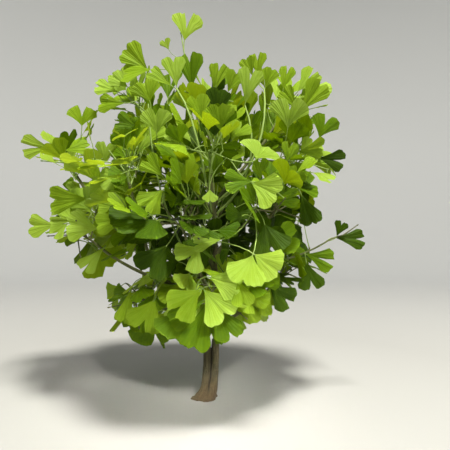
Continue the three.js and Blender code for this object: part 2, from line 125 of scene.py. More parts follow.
class Shown(NamedTuple):
    """A leaf that shows clearly from the front: its blade's base and tip, and how it opens."""

    base: tuple
    tip: tuple
    half_angle: float
    cleft: float
    roll: float = 0


class Tufts(NamedTuple):
    """How spurs stand along a twig: how far apart and how long, and what each one carries."""

    spacing: float
    start: float
    top: float  # no spurs grow above this height in the crown
    lengths: tuple
    radii: tuple
    leaves: int
    size: float
    stalk: float
    room: float


class Tint(NamedTuple):
    """A plain colour for the leaves whose score stays under its limit, and the light that shines through
    it. The tints differ partly as real leaves do, and partly as painted light and shade.
    """

    slot: str
    ripeness: float
    face: tuple
    shade: tuple
    glow: tuple
    share: float


class PaintedShading(NamedTuple):
    """Painted shade round a place in the crown, seen from the front: how much darker the leaves' tints are
    there, and painted light where this is below 0.
    """

    middle: tuple
    spread: tuple
    depth: float


class Texture(NamedTuple):
    """A noise pattern: how fine, how detailed and how rough."""

    scale: float
    detail: float = 3
    roughness: float = 0.5


class Lamp(NamedTuple):
    """A soft lamp: where it is and points to, its width, its power and its beam in degrees."""

    place: tuple
    target: tuple
    width: float
    power: float
    beam: float = 180


# Driving dimensions of the wood

CLEARANCE = 0.3
FORK_HEIGHT = 52
FOOT_RADII = (17, 9)  # at the ground and at the waist
FOOT_MIDDLES = np.array([(4, 0), (11, 0)])
FLARE_HEIGHT = 30
BOUGH_STOP = 30  # from a bough's tip to the hub of its mass
BOUGH_SAG = 0.1
BOUGH_RISE = 0.12
BOUGH_TURN = 0.2
BOUGH_BEND = 0.6  # where it sags most, as a share of its length
ROOT_SWELLINGS = (Swelling(188, 7, 5), Swelling(295, 4, 4), Swelling(40, 5, 4))
STEM_GAPS = (Swelling(279, -5, 14), Swelling(81, -4, 14))  # where the foot parts in two
BOUGHS = {
    "left": Bough("stem_left", 1, (5, 2.5)),
    "left_up": Bough("bough_left", 0.5, (3, 2.3)),
    "left_side": Bough("bough_left", 0.33, (3, 2.3)),
    "left_low": Bough("bough_left", 0.1, (2.9, 2.2)),
    "left_back": Bough("bough_left", 0.2, (3.2, 2.4)),
    "front_low": Bough("leader", 0.12, (3.4, 2.3)),
    "back_low": Bough("leader", 0.15, (3.4, 2.3)),
    "right_low": Bough("leader", 0.18, (3.6, 2.3)),
    "right_back": Bough("leader", 0.23, (3.6, 2.4)),
    "front": Bough("leader", 0.28, (3.6, 2.4)),
    "right": Bough("leader", 0.33, (3.7, 2.4)),
    "back": Bough("leader", 0.37, (3.4, 2.3)),
    "heart": Bough("leader", 0.41, (3, 2.2)),
    "left_top_back": Bough("leader", 0.46, (3, 2.2)),
    "right_up": Bough("leader", 0.5, (3.2, 2.2)),
    "front_up": Bough("leader", 0.55, (3, 2.2)),
    "back_up": Bough("leader", 0.6, (3, 2.2)),
    "left_top": Bough("leader", 0.66, (3.1, 2.2)),
    "right_top": Bough("leader", 0.7, (3, 2.2)),
    "spire": Bough("leader", 0.8, (2, 1.5)),
    "right_tip": Bough("bough_right", 0.4, (1.9, 1.5)),
}
LIMB_RODS = 40  # how many steps a limb is measured in, where leaves keep clear of it
STUB_RODS = 8
TWIG_RODS = 5

# Driving dimensions of the foliage

# The crown at each height: its reach to the left, to the right, and to the front and back
CROWN = np.array([
    (72, -64, 34, 150),
    (98, -152, 70, 175),
    (130, -166, 122, 190),
    (185, -168, 160, 212),
    (200, -214, 208, 220),
    (250, -226, 222, 235),
    (272, -292, 196, 238),
    (305, -292, 194, 240),
    (320, -258, 198, 238),
    (380, -258, 238, 230),
    (428, -312, 238, 220),
    (466, -312, 232, 202),
    (500, -222, 224, 180),
    (555, -194, 224, 145),
    (570, -154, 168, 118),
    (592, -150, 122, 80),
    (612, -148, 20, 50),
], float)
CROWN_POWER = 2.1
EYE = np.array([37.0, -766.0, 254.0])  # where the viewer stands
MASSES = (
    Mass("left_low", (-100, -56, 160), ((-124, -60, 146), (-66, -70, 134))),
    Mass("front_low", (34, -104, 168), ((6, -110, 138), (62, -140, 196)), 1.1),
    Mass("back_low", (14, 108, 200)),
    Mass("right_low", (138, -16, 204), ((192, -20, 214), (132, -20, 170))),
    Mass("left_side", (-196, -50, 276), ((-246, -20, 285), (-216, -50, 318), (-186, -50, 232))),
    Mass("left_back", (-130, 110, 300)),
    Mass("front", (-26, -140, 290), ((4, -170, 282),), 1.1),
    Mass("right", (112, -104, 312), ((110, -140, 356),)),
    Mass("right_back", (128, 92, 308)),
    Mass("back", (2, 160, 345)),
    Mass("heart", (-40, 10, 372)),
    Mass("left_outer", (-238, 0, 412), ((-212, 0, 478), (-284, 0, 446)), limb="bough_left"),
    Mass("left_inner", (-118, -84, 392), limb="bough_left_up"),
    Mass("front_up", (14, -116, 404), ((-30, -150, 372), (34, -150, 400))),
    Mass("right_up", (164, -10, 410), ((212, 0, 458), (216, 0, 400))),
    Mass("back_up", (70, 110, 455)),
    Mass("left_top_back", (-90, 112, 440)),
    Mass("left_top", (-118, 0, 524), ((-120, 0, 584), (-164, 0, 538), (-150, -30, 496))),
    Mass("crown", (10, -24, 524), ((-16, -10, 568), (-50, -30, 546)), limb="leader"),
    Mass("right_top", (144, 14, 514), ((200, 10, 530), (106, 0, 566), (152, 10, 548))),
    Mass("spire", (-32, 0, 606), ((-28, 0, 640), (-62, 0, 604)), 0.95, 1, (50, 46, 60)),
    Mass("right_tip", (236, -14, 274), (), 0.62, 1, (50, 50, 42)),
)
MIDDLES = np.array([mass.middle for mass in MASSES], float)
FIRST_SEED = 1000
SEED_STEP = 77
SPACE_GAP = 1.5
TWIG_RADII = (2.2, 1.5, 0.9)
STEM_REACH = 1.1  # how far a stem goes, as a share of the way to its hub
STEM_GUIDE = 0.4  # how far it keeps to its bough's direction
SHOOT_LENGTH = 46
SHOOT_HEADING = (1, 0.25, 0.4)  # how much a shoot goes aside, up and along its stem
SHOOT_SAMPLES = (0.25, 0.5, 0.75, 1)
SHOOT_TRIALS = 5  # each is shorter than the one before, until the shoot fits
SHOOT_SHORTER = 0.8
SHOOT_SHARES = (0.3, 0.98)  # where on the stem the first and last shoots leave it
LONE_SHOOT = 0.9
LEAVES_PER_SHOOT = 6
LEAF_SHARES = (0.15, 1)
TIP_SHARES = (0.3, 1)
GOLDEN_ANGLE = math.radians(137.5)
PETIOLE_LENGTH = 40
ELBOW = 0.6  # where a stalk bends, as a share of its length
STALK_HEADING = (0.75, 0.35, 0.6)  # how much a stalk goes round, along and out of its twig
BLADE_LEAN = 0.2  # how much a blade leans outward
FACING_OUT = 0.8  # and how much it faces outward
EDGE_ON = 0.05
BLADE_LENGTH = 46
LEAF_DRAWS = 40
LEAF_STRAY = 2
TIP_DRAWS = 240
TIP_FACING = 32
LEAF_ROOM = 24
MOST_ROOM = 200
LEAF_CLEARANCE = 2.4
CORE_RISE = (80, 0.6)
MASS_SPAN = 200  # no leaf is further than this from the middle of its mass
LOW = Habit(150, 1.15, 0.1, 0.55, 8)
HIGH = Habit(560, -0.75, 0.8, 0.2, -26)
SUN = np.array([0.1, -0.3, 1.0])
# What a leaf draws after the turn of its stalk, in this order, and between which limits
LEAF_LIMITS = {
    "drop": (-0.55, 0.55),
    "roll": (-0.7, 0.7),
    "stalk": (0.35, 1.2),
    "length": (0.8, 1.15),
    "half_angle": (0.8, 1.15),
    "cleft": (0.1, 0.45),
    "fold": (-0.1, 0.3),
    "twist": (-0.15, 0.15),
    "bend": (-0.02, 0.16),
    "phase": (0, 6.28),
}
LEAF_NUMBERS = 1 + len(LEAF_LIMITS)
RIM_ROUNDING = 0.14
WAVE_HEIGHT = 0.05
WAVE_RATE = 3.1
BLADE_SAMPLES = [(a, t) for t in (1, 0.75, 0.5) for a in (-1, -0.5, 0, 0.5, 1)]
STALK_SAMPLES = np.array([0.4, 0.7, 1.0])
HEART = (0.3, 0.6)
CLEFT_WIDTH = 0.1

# The finer growth: leaves that show clearly by the tint that they have, and spurs. Their tints are partly
# painted light and shade: lighter where they are lit, darker where they are shaded.

SHOWN = {
    "lime": (
        ((-33, 0, 610), (-25, -6, 653), 0.68, 0.62),
        ((-60, 0, 594), (-68, -3, 610), 0.6, 0.2),
        ((-127, -15, 523), (-152, -23, 539), 0.6, 0.3, 0.3),
        ((-145, -10, 516), (-179, -16, 526), 0.5, 0.3, 0.5),
        ((-41, -45, 512), (-46, -55, 555), 0.45, 0.15),
        ((-69, -70, 429), (-70, -82, 463), 0.78, 0.3),
        ((-260, 0, 422), (-305, -6, 424), 0.5, 0.6, 0.1),
        ((-162, -30, 391), (-156, -36, 421), 0.6, 0.2),
        ((-239, -30, 288), (-276, -40, 286), 0.55, 0.2),
        ((-156, -80, 280), (-196, -92, 287), 0.66, 0.12),
        ((-152, -60, 252), (-178, -72, 220), 0.36, 0.3),
        ((74, -160, 339), (104, -178, 323), 0.72, 0.15),
        ((17, -165, 330), (18, -171, 314), 0.7, 0.2),
        ((4, -165, 253), (-17, -177, 231), 0.9, 0.55),
        ((34, -170, 263), (0, -180, 257), 0.35, 0.2, 0.4),
        ((76, -170, 243), (104, -186, 223), 0.72, 0.1),
        ((74, -172, 242), (60, -186, 209), 0.8, 0.15),
        ((9, -160, 196), (38, -176, 164), 0.62, 0.2),
        ((16, -158, 212), (53, -172, 202), 0.6, 0.1),
        ((137, -60, 441), (140, -74, 481), 0.82, 0.35),
        ((70, -50, 483), (80, -62, 532), 0.42, 0.3),
        ((82, -130, 378), (94, -104, 405), 0.95, 0.15),
    ),
    "fresh": (
        ((-95, -5, 556), (-129, -15, 589), 0.5, 0.05, 0.2),
        ((-87, -20, 551), (-135, -12, 550), 0.6, 0.2, 1.0),
        ((-129, -25, 492), (-172, -17, 495), 0.42, 0.1, 0.3),
        ((-85, -40, 489), (-95, -48, 520), 0.85, 0.25),
        ((-51, -25, 521), (-85, -31, 544), 0.35, 0.1, 0.3),
        ((-209, 0, 460), (-207, -6, 491), 0.9, 0.55),
        ((-228, -30, 411), (-192, -20, 421), 0.45, 0.2, -0.5),
        ((-177, -60, 328), (-228, -74, 325), 0.42, 0.15),
        ((-108, -90, 298), (-148, -104, 286), 0.42, 0.1, 0.2),
        ((-52, -120, 335), (-75, -136, 309), 0.6, 0.2),
        ((-53, -110, 355), (-76, -122, 378), 0.5, 0.2),
        ((55, -165, 210), (62, -177, 180), 0.5, 0.2),
        ((6, -160, 196), (-27, -176, 170), 0.62, 0.3),
        ((-67, -90, 175), (-84, -106, 136), 0.72, 0.3),
        ((-106, -70, 190), (-117, -78, 142), 0.3, 0.1),
        ((165, -20, 480), (196, -32, 521), 0.46, 0.15),
        ((158, -25, 482), (135, -33, 510), 0.42, 0.2),
        ((153, -50, 405), (197, -40, 413), 0.42, 0.2, 0.3),
        ((139, 10, 526), (147, 2, 562), 0.42, 0.3),
        ((95, 10, 550), (94, 2, 586), 0.46, 0.3),
        ((86, 5, 550), (74, -1, 577), 0.5, 0.1),
        ((107, 0, 527), (118, -6, 556), 0.55, 0.1),
        ((18, -30, 508), (29, -40, 549), 0.4, 0.2),
        ((42, -30, 509), (56, -38, 538), 0.55, 0.1),
    ),
    "full": (
        ((-18, -20, 517), (-22, -34, 568), 0.46, 0.2),
        ((-106, -40, 448), (-135, -50, 455), 0.62, 0.3, 0.2),
        ((75, -160, 341), (41, -174, 340), 0.5, 0.35, 0.2),
        ((98, -130, 319), (140, -126, 322), 0.4, 0.2, 0.4),
        ((14, -130, 180), (-5, -146, 119), 0.34, 0.06),
        ((17, -122, 176), (46, -134, 130), 0.42, 0.2),
        ((170, -20, 241), (211, -26, 228), 0.5, 0.55),
        ((196, -15, 436), (210, -21, 470), 0.72, 0.35),
        ((11, -131, 180), (-32, -146, 152), 0.3, 0.05),
    ),
    "deep": (
        ((104, -70, 196), (135, -78, 168), 0.55, 0.3),
        ((170, -30, 228), (178, -38, 188), 0.55, 0.3),
        ((159, -50, 337), (174, -60, 293), 0.42, 0.1),
        ((92, -140, 287), (102, -152, 246), 0.72, 0.3),
        ((-43, -130, 257), (-70, -144, 220), 0.6, 0.2),
        ((197, 0, 405), (237, -6, 398), 0.5, 0.4),
        ((221, -14, 268), (264, -20, 265), 0.42, 0.25),
        ((223, -18, 270), (231, -24, 292), 0.5, 0.2),
        ((23, -70, 457), (28, -80, 494), 0.55, 0.1),
        ((9, -120, 399), (54, -106, 393), 0.5, 0.15, 0.8),
    ),
}
SHOWN_GROWTH = 1.08  # the rim is rounded, so it falls short of the tip and of the corners
SHOWN_STALK = 24
SHOWN_STALK_END = 0.4
SHOWN_FOLD = 0.14
SHOWN_BEND = 0.1
HIDING_SAMPLES = 2
# Where the viewer sees past the leaves: sideways, up and how wide, at the trunk's depth
GAPS = np.array([
    (-248, 462, 24), (-264, 489, 24), (-274, 460, 15), (-168, 455, 20), (-189, 506, 19),
    (-162, 564, 15), (-94, 571, 12), (19, 576, 14), (48, 577, 14), (-124, 213, 26),
    (-189, 172, 27), (-204, 217, 15), (-216, 196, 17), (-114, 72, 34), (-78, 74, 24),
    (-60, 77, 12), (85, 101, 31), (114, 123, 20), (129, 133, 19), (49, 74, 17),
    (165, 274, 19), (152, 213, 12), (17, 325, 9), (14, 300, 9), (58, 428, 10), (-19, 525, 10),
    (272, 293, 17), (196, 434, 12), (208, 346, 14), (21, 92, 15), (-46, 97, 15), (-46, 77, 15),
], float)
GAP_SAMPLES = 3
TOP_FAN = 0.72  # how much narrower fans open at the top of the crown
BOUGH_TUFTS = Tufts(30, 0.2, 0.8, (4, 10), (1.8, 1.4), 3, 1.0, 1.35, 21)
SHOOT_TUFTS = Tufts(30, 0.5, 0.6, (5, 13), (1.2, 0.9), 2, 0.75, 1.1, 19)
LAST_SPUR = 0.97
SPUR_HEADING = (0.9, 0.4, 0.4)  # how much a spur goes out of its twig, along it and up
SPUR_DEPTH = 0.5  # how deep it begins, as a share of the twig's radius
SPUR_SEED = 5000
SPUR_DRAWS = 30
SPUR_SPAN = 150  # what is further from a spur than this can't touch its leaves
# How each leaf opens once all have grown: shares of its turn to the sun, and growth
OPENINGS = ((1, 1.25), (0.7, 1.25), (1, 1.12), (0.4, 1.25), (0.7, 1.1), (0.3, 1.1), (0, 1))
SUN_TURN = 1.7
SUN_TURN_HEIGHT = (0.45, 0.28)  # in the crown: where leaves turn most, and over what spread

# Vectors, alone or in rows

UP = np.array([0.0, 0.0, 1.0])
TANGENT_STEP = 1e-4
STEEP = 0.1


def mix(start, end, share):
    return start + (end - start) * share


def dot(one, other):
    return np.sum(one * other, axis=-1)


def length_of(vectors):
    return np.linalg.norm(vectors, axis=-1)


def unit(vectors):
    return vectors / np.linalg.norm(vectors, axis=-1, keepdims=True)


def heading(*parts):
    """The sum of vectors, each times its own share, as a unit vector."""
    return unit(sum(way * share for way, share in parts))


def without(vectors, way):
    """What is left of vectors without their share along a unit vector."""
    return vectors - way * dot(vectors, way)[..., None]


def square_to(way):
    """A unit vector square to another one."""
    side = np.cross(way, UP)
    steep = np.linalg.norm(side, axis=-1, keepdims=True) < STEEP
    return unit(np.where(steep, np.cross(way, [1.0, 0.0, 0.0]), side))


def turned(vectors, axis, angle):
    """Vectors turned about unit axes."""
    angle = np.asarray(angle)[..., None]
    kept = axis * dot(axis, vectors)[..., None] * (1 - np.cos(angle))
    return vectors * np.cos(angle) + np.cross(axis, vectors) * np.sin(angle) + kept


def even_direction(index, count, spin):
    """Directions spread evenly over a sphere."""
    z = 1 - (2 * index + 1) / count
    r = math.sqrt(1 - z * z)
    turn = index * GOLDEN_ANGLE + spin
    return np.array([r * math.cos(turn), r * math.sin(turn), z])


def turns_round(sides):
    return np.linspace(0, 2 * math.pi, sides, endpoint=False)


class Chance:
    """A repeatable source of numbers from 0 to 1."""

    def __init__(self, seed):
        self.state = seed

    def one(self):
        self.state = self.state * 48271 % 2147483647
        return self.state / 2147483647

    def between(self, low, high):
        return mix(low, high, self.one())

    def rows(self, count, width):
        return np.array([[self.one() for _ in range(width)] for _ in range(count)])


class Route:
    """A Bezier curve that a limb or twig follows, and its radius at either end."""

    def __init__(self, points, radii):
        self.points = np.array(points, float)
        self.radii = radii

    def place(self, share):
        share = np.asarray(share, float)[..., None]
        last = len(self.points) - 1
        return sum(
            math.comb(last, k) * (1 - share) ** (last - k) * share**k * point
            for k, point in enumerate(self.points)
        )

    def way(self, share):
        share = np.asarray(share, float)
        ahead = self.place(np.minimum(share + TANGENT_STEP, 1))
        return unit(ahead - self.place(np.maximum(share - TANGENT_STEP, 0)))

    def radius(self, share):
        return mix(*self.radii, share)

    def span(self):
        return np.linalg.norm(self.place(1) - self.place(0))


class Rows:
    """Arrays with one row for each thing."""

    def rows(self, chosen):
        return type(self)(*(column[chosen] for column in vars(self).values()))


def joined(*parts):
    """Several sets of rows as one."""
    return type(parts[0])(*map(np.concatenate, zip(*(vars(part).values() for part in parts))))


@dataclass
class Rods(Rows):
    """Points inside wood, each with the wood's radius there."""

    places: np.ndarray
    radii: np.ndarray


def rods_of(routes, steps):
    shares = np.linspace(0, 1, steps + 1)
    places = np.concatenate([route.place(shares) for route in routes])
    radii = np.concatenate([route.radius(shares) for route in routes])
    return Rods(places, radii)


# Limbs

STUBS = (
    Route([(5, 0, 0), (7.7, 0, FORK_HEIGHT + 4)], (8.2, 6.5)),
    Route([(15, 0, 0), (21.2, 0, FORK_HEIGHT + 4)], (8, 6)),
)
STEMS = {
    "stem_left": Route(
        [(7.4, 0, FORK_HEIGHT - 4), (8.2, 0, 76), (7.4, -1, 104), (1.5, -3, 126)], (6.5, 5.2)
    ),
    "leader": Route(
        [(20.6, 0, FORK_HEIGHT - 4), (25, 2, 155), (24, 10, 300), (8, -8, 460)], (6, 2.3)
    ),
}
# Upright shoots that show among the upper leaves
SHOOTS = (
    Route([(24, 6, 290), (4, -60, 330), (6, -120, 430), (-41, -48, 509)], (2.8, 1.7)),
    Route([(23, 4, 330), (90, -50, 370), (106, -60, 440), (105, -4, 523)], (2.6, 1.6)),
    Route([(24, 4, 310), (84, -70, 350), (88, -95, 410), (70, -52, 479)], (2.4, 1.4)),
    Route([(24, 4, 290), (8, -90, 315), (10, -130, 370), (30, -112, 404)], (2.2, 1.3)),
    Route([(8, -4, 180), (-70, -60, 300), (-80, -60, 400), (-88, -40, 486)], (2.4, 1.4)),
)
SHOOT_STEPS = 24
SHOOT_SHOWS = 9  # how far from a shoot the view is kept clear
FAR_BACK = 1000


def risen(height):
    """How high a place is in the crown, from 0 where leaves hang to 1 where they stand."""
    return np.clip((height - LOW.height) / (HIGH.height - LOW.height), 0, 1)


def hub_of(mass):
    """Where the shoots of a mass meet."""
    return np.array(mass.middle, float) + UP * mix(LOW.hub, HIGH.hub, risen(mass.middle[2]))


def bough_route(name, bough, parent):
    """A bough leaves its parent partly along the parent's own direction, dips and rises."""
    along = parent.way(bough.at)
    foot = parent.place(bough.at)
    if bough.at == 1:
        foot = foot + along * CLEARANCE
    hub = hub_of(next(mass for mass in MASSES if mass.carrier() == name))
    tip = hub + unit(foot - hub) * BOUGH_STOP
    length = np.linalg.norm(foot - tip)
    first = foot + along * length * BOUGH_RISE
    if bough.at < 1:
        first = mix(first, tip, BOUGH_TURN)
    second = mix(foot, tip, BOUGH_BEND) - UP * length * BOUGH_SAG
    return Route([foot, first, second, tip], bough.radii)


def grow_limbs():
    limbs = dict(STEMS)
    for key, bough in BOUGHS.items():
        name = f"bough_{key}"
        limbs[name] = bough_route(name, bough, limbs[bough.parent])
    return limbs


def crown_share(points):
    """How far out points are in the crown, from 0 in its middle to 1 at its edge.

    The crown narrows to the front as the viewer sees it.
    """
    depth = points[..., 1]
    nearer = EYE[1] / (EYE[1] - np.minimum(depth, 0))
    seen = EYE + (points - EYE) * nearer[..., None]
    heights, *reaches = CROWN.T
    left, right, deepest = (np.interp(seen[..., 2], heights, reach) for reach in reaches)
    sideways = np.abs(seen[..., 0] - (left + right) / 2) / ((right - left) / 2)
    share = sideways**CROWN_POWER + np.abs(depth / deepest) ** CROWN_POWER
    return np.where((seen[..., 2] >= heights[0]) & (seen[..., 2] < heights[-1]), share, 2)


def in_crown(points):
    return crown_share(points) < 1


# Leaves


@dataclass
class Leaves(Rows):
    """Leaves as arrays, with one row for each leaf."""

    node: np.ndarray  # where the stalk leaves its twig
    elbow: np.ndarray  # where the stalk's two directions would meet
    base: np.ndarray  # where the blade begins
    way: np.ndarray
    side: np.ndarray
    normal: np.ndarray
    length: np.ndarray
    half_angle: np.ndarray
    cleft: np.ndarray
    fold: np.ndarray
    twist: np.ndarray
    bend: np.ndarray
    phase: np.ndarray

    def put(self, row, leaf):
        for key, column in vars(self).items():
            column[row] = getattr(leaf, key)[0]

    def height(self, angle, share):
        """The blade's height over its own plane: a fold, a twist, a wave and a bend."""
        fold = self.fold * np.abs(np.sin(angle)) + self.twist * np.sin(angle)
        wave = WAVE_HEIGHT * np.sin(WAVE_RATE * angle + self.phase)
        return self.length * (share * (fold + wave) - self.bend * share**2)

    def on_blades(self, angle, reach, height):
        """Places from their angle and reach on each blade, and their height over its plane."""
        ahead = self.way * (reach * np.cos(angle))[..., None]
        aside = self.side * (reach * np.sin(angle))[..., None]
        return self.base + (ahead + aside) + self.normal * height[..., None]

    def blade_points(self, a, share):
        """One point of each blade, at a share of its half angle and of its length."""
        angle = a * self.half_angle
        rim = 1 - RIM_ROUNDING * a**4 - self.cleft * math.exp(-((a / CLEFT_WIDTH) ** 2))
        return self.on_blades(angle, self.length * share * rim, self.height(angle, share))

    def hearts(self):
        return self.blade_points(*HEART)

    def stalk_samples(self):
        return mix(self.node[:, None], self.base[:, None], STALK_SAMPLES[:, None])

    def samples(self):
        blade = np.stack([self.blade_points(a, share) for a, share in BLADE_SAMPLES], axis=1)
        return np.concatenate([blade, self.stalk_samples()], axis=1)

    def fan_place(self, start):
        """The reach and the angle of places that are given from the blades' bases."""
        ahead, aside = dot(start, self.way), dot(start, self.side)
        return np.hypot(ahead, aside), np.arctan2(aside, ahead)


def draw_leaves(numbers, nodes, alongs, turn, stray, size, stalk=1):
    """Draws a leaf for each row of random numbers, at a place and direction on a twig.

    Stalks spread round the twig and lean outward. Blades face the sky and hang low in the
    crown, and they stand upright at its top.
    """
    nodes, alongs = (np.broadcast_to(rows, (len(numbers), 3)) for rows in (nodes, alongs))
    limits = {"turn": (-stray, stray), **LEAF_LIMITS}
    drawn = {key: mix(*limits[key], column) for key, column in zip(limits, numbers.T)}
    radial = turned(square_to(alongs), alongs, turn + drawn["turn"])
    outward = unit(nodes - UP * (CORE_RISE[0] + CORE_RISE[1] * nodes[:, [2]]))
    grade = risen(nodes[:, [2]])
    _, pull, rise, sky, _ = (mix(low, high, grade) for low, high in zip(LOW, HIGH))
    leaving = heading(*zip((radial, alongs, outward, UP), (*STALK_HEADING, rise)))
    drop = -pull + drawn["drop"][:, None]
    way = heading((leaving, 1), (outward, BLADE_LEAN), (UP, drop))
    normal = without(heading((SUN, sky), (outward, FACING_OUT)), way)
    edge_on = length_of(normal)[:, None] < EDGE_ON
    normal = unit(np.where(edge_on, square_to(way), normal))
    normal = turned(normal, way, drawn["roll"])
    petiole = (PETIOLE_LENGTH * size * stalk * drawn["stalk"])[:, None]
    elbow = nodes + leaving * petiole * ELBOW
    return Leaves(
        node=nodes,
        elbow=elbow,
        base=elbow + way * petiole * (1 - ELBOW),
        way=way,
        side=np.cross(way, normal),
        normal=normal,
        length=BLADE_LENGTH * size * drawn["length"],
        **{key: drawn[key] for key in ("half_angle", "cleft", "fold", "twist", "bend", "phase")},
    )


def heights_over(points, blades, margin):
    """The heights of points over blades, one column a blade, and nan beside a blade."""
    start = points[..., None, :] - blades.base
    reach, angle = blades.fan_place(start)
    height = dot(start, blades.normal)
    height -= blades.height(angle, np.minimum(reach / blades.length, 1))
    spare = margin / np.maximum(reach, np.maximum(margin, 1e-9))
    beside = (reach > blades.length + margin) | (np.abs(angle) > blades.half_angle + spare)
    return np.where(beside, np.nan, height)


def touched_by(blades, rods):
    """True for each blade that the rods would touch."""
    room = (rods.radii + LEAF_CLEARANCE)[:, None]
    return (np.abs(heights_over(rods.places, blades, room)) < room).any(axis=0)


def pierced(leaves, blades):
    """True where a leaf, in rows, comes through a blade, in columns, or lies against it."""
    heights = heights_over(leaves.samples(), blades, 0)
    against = (np.abs(heights) < LEAF_CLEARANCE).any(axis=1)
    return against | ((heights > 0).any(axis=1) & (heights < 0).any(axis=1))


def crossing(leaves, others):
    """True for each leaf that would touch or cross one of the others."""
    return pierced(leaves, others).any(axis=1) | pierced(others, leaves).any(axis=0)


def fitting(draws, allowed, wood, twigs, others):
    """The rows of the draws that keep to the allowed space and touch no wood and no leaf."""
    rows = np.flatnonzero(allowed(draws.samples()).all(axis=1))
    rows = rows[~touched_by(draws.rows(rows), wood)]
    away = length_of(draws.rows(rows).stalk_samples()[:, :, None] - wood.places)
    rows = rows[(away >= wood.radii + LEAF_CLEARANCE).all(axis=(1, 2))]
    rows = rows[~touched_by(draws.rows(rows), twigs)]
    return rows if others is None else rows[~crossing(draws.rows(rows), others)]


def room_for(draws, hearts):
    """How far each new blade would be from the nearest that has already grown."""
    if not hearts:
        return np.full(len(draws.length), float(MOST_ROOM))
    away = length_of(draws.hearts()[:, None] - np.array(hearts))
    return np.minimum(away.min(axis=1), MOST_ROOM)


def best_of(draws, rows, score):
    """The draw with the best score out of some rows, if there are any."""
    return draws.rows(rows[[np.argmax(score[rows])]]) if len(rows) else None


class Spray:
    """The twigs of one mass and the leaves that have grown on them."""

    def __init__(self, mass, limb, wood, chance):
        self.mass = mass
        self.wood = wood.rows(length_of(wood.places - mass.middle) < MASS_SPAN)
        self.leaves = None
        self.grow_twigs(limb, chance)
        self.rods = rods_of(self.twigs(), TWIG_RODS)
        self.rods.radii = np.repeat([twig.radii[0] for twig in self.twigs()], TWIG_RODS + 1)

    def twigs(self):
        return [self.stem, *self.shoots]

    def grow_twigs(self, limb, chance):
        """The stem runs from its bough's tip to the hub, and shoots leave it all round."""
        along = limb.way(1)
        root = limb.place(1) + along * CLEARANCE
        hub = mix(root, hub_of(self.mass), STEM_REACH)
        guide = root + along * np.linalg.norm(root - hub) * STEM_GUIDE
        self.stem = Route([root, guide, hub], (min(limb.radii[1], TWIG_RADII[0]), TWIG_RADII[1]))
        self.shoots = []
        count = self.mass.shoots
        spin = chance.between(0, 2 * math.pi)
        for index in range(count):
            at = LONE_SHOOT if count == 1 else mix(*SHOOT_SHARES, index / (count - 1))
            aside = along if count == 1 else even_direction(index, count, spin)
            way = heading(*zip((aside, UP, self.stem.way(at)), SHOOT_HEADING))
            foot = self.stem.place(at)
            for trial in range(SHOOT_TRIALS):
                length = SHOOT_LENGTH * self.mass.leaf_size * SHOOT_SHORTER**trial
                shoot = Route([foot, foot + way * length], TWIG_RADII[1:])
                if self.twig_fits(shoot):
                    self.shoots.append(shoot)
                    break

    def twig_fits(self, route):
        points = route.place(SHOOT_SAMPLES)
        away = length_of(points[:, None] - self.wood.places)
        clear = (away > self.wood.radii + LEAF_CLEARANCE).all()
        return clear and self.mass.holds(points).all()

    def grow_best(self, draws, hearts, least_room, score=None):
        """Grows the fitting draw with the best score, or else with the most room."""
        room = room_for(draws, hearts)
        rows = fitting(draws, self.mass.holds, self.wood, self.rods, self.leaves)
        best = best_of(draws, rows[room[rows] > least_room], room if score is None else score)
        if best is not None:
            self.leaves = best if self.leaves is None else joined(self.leaves, best)
            hearts.append(best.hearts()[0])

    def grow_tips(self, hearts, chance):
        """Leaves reach for the places where they show in the tree's outline."""
        for tip in self.mass.tips:
            numbers = chance.rows(TIP_DRAWS, 2 + LEAF_NUMBERS)
            hosts = [self.shoots[int(number * len(self.shoots))] for number in numbers[:, 0]]
            shares = mix(*TIP_SHARES, numbers[:, 1])
            nodes = np.array([host.place(share) for host, share in zip(hosts, shares)])
            alongs = np.array([host.way(share) for host, share in zip(hosts, shares)])
            draws = draw_leaves(numbers[:, 2:], nodes, alongs, 0, math.pi, self.mass.leaf_size)
            facing = TIP_FACING * np.abs(draws.normal[:, 1])
            self.grow_best(draws, hearts, -1, facing - length_of(draws.hearts() - tip))

    def grow_along_shoots(self, hearts, chance):
        """Each place on a shoot draws several leaves, and the one with most room grows."""
        turn = 0
        for shoot in self.shoots:
            for index in range(LEAVES_PER_SHOOT):
                share = mix(*LEAF_SHARES, index / (LEAVES_PER_SHOOT - 1))
                turn += GOLDEN_ANGLE
                numbers = chance.rows(LEAF_DRAWS, LEAF_NUMBERS)
                spot = (shoot.place(share), shoot.way(share), turn, LEAF_STRAY)
                draws = draw_leaves(numbers, *spot, self.mass.leaf_size)
                self.grow_best(draws, hearts, LEAF_ROOM)


def grow_sprays(limbs, wood):
    sprays = []
    hearts = []
    for order, mass in enumerate(MASSES, 1):
        chance = Chance(FIRST_SEED + order * SEED_STEP)
        spray = Spray(mass, limbs[mass.carrier()], wood, chance)
        spray.grow_tips(hearts, chance)
        spray.grow_along_shoots(hearts, chance)
        sprays.append(spray)
    return sprays


# What shows from the front


def grow_shown(sprays, wood, shoots, table):
    """The leaves that show clearly, each on a stalk from the nearest twig."""
    columns = zip(*(Shown(*row) for row in table))
    base, tip, half_angle, cleft, roll = (np.array(column, float) for column in columns)
    way = unit(tip - base)
    normal = turned(unit(without(EYE - base, way)), way, roll)
    hosts = np.concatenate([wood.places, shoots.places, *(spray.rods.places for spray in sprays)])
    wish = base - way * SHOWN_STALK
    node = hosts[length_of(hosts - wish[:, None]).argmin(axis=1)]
    petiole = length_of(base - node)[:, None]
    count = len(table)
    return Leaves(
        node=node,
        elbow=base - way * petiole * SHOWN_STALK_END,
        base=base,
        way=way,
        side=np.cross(way, normal),
        normal=normal,
        length=length_of(tip - base) * SHOWN_GROWTH,
        half_angle=half_angle * SHOWN_GROWTH,
        cleft=cleft,
        fold=np.full(count, SHOWN_FOLD),
        twist=np.zeros(count),
        bend=np.full(count, SHOWN_BEND),
        phase=np.arange(count, dtype=float),
    )


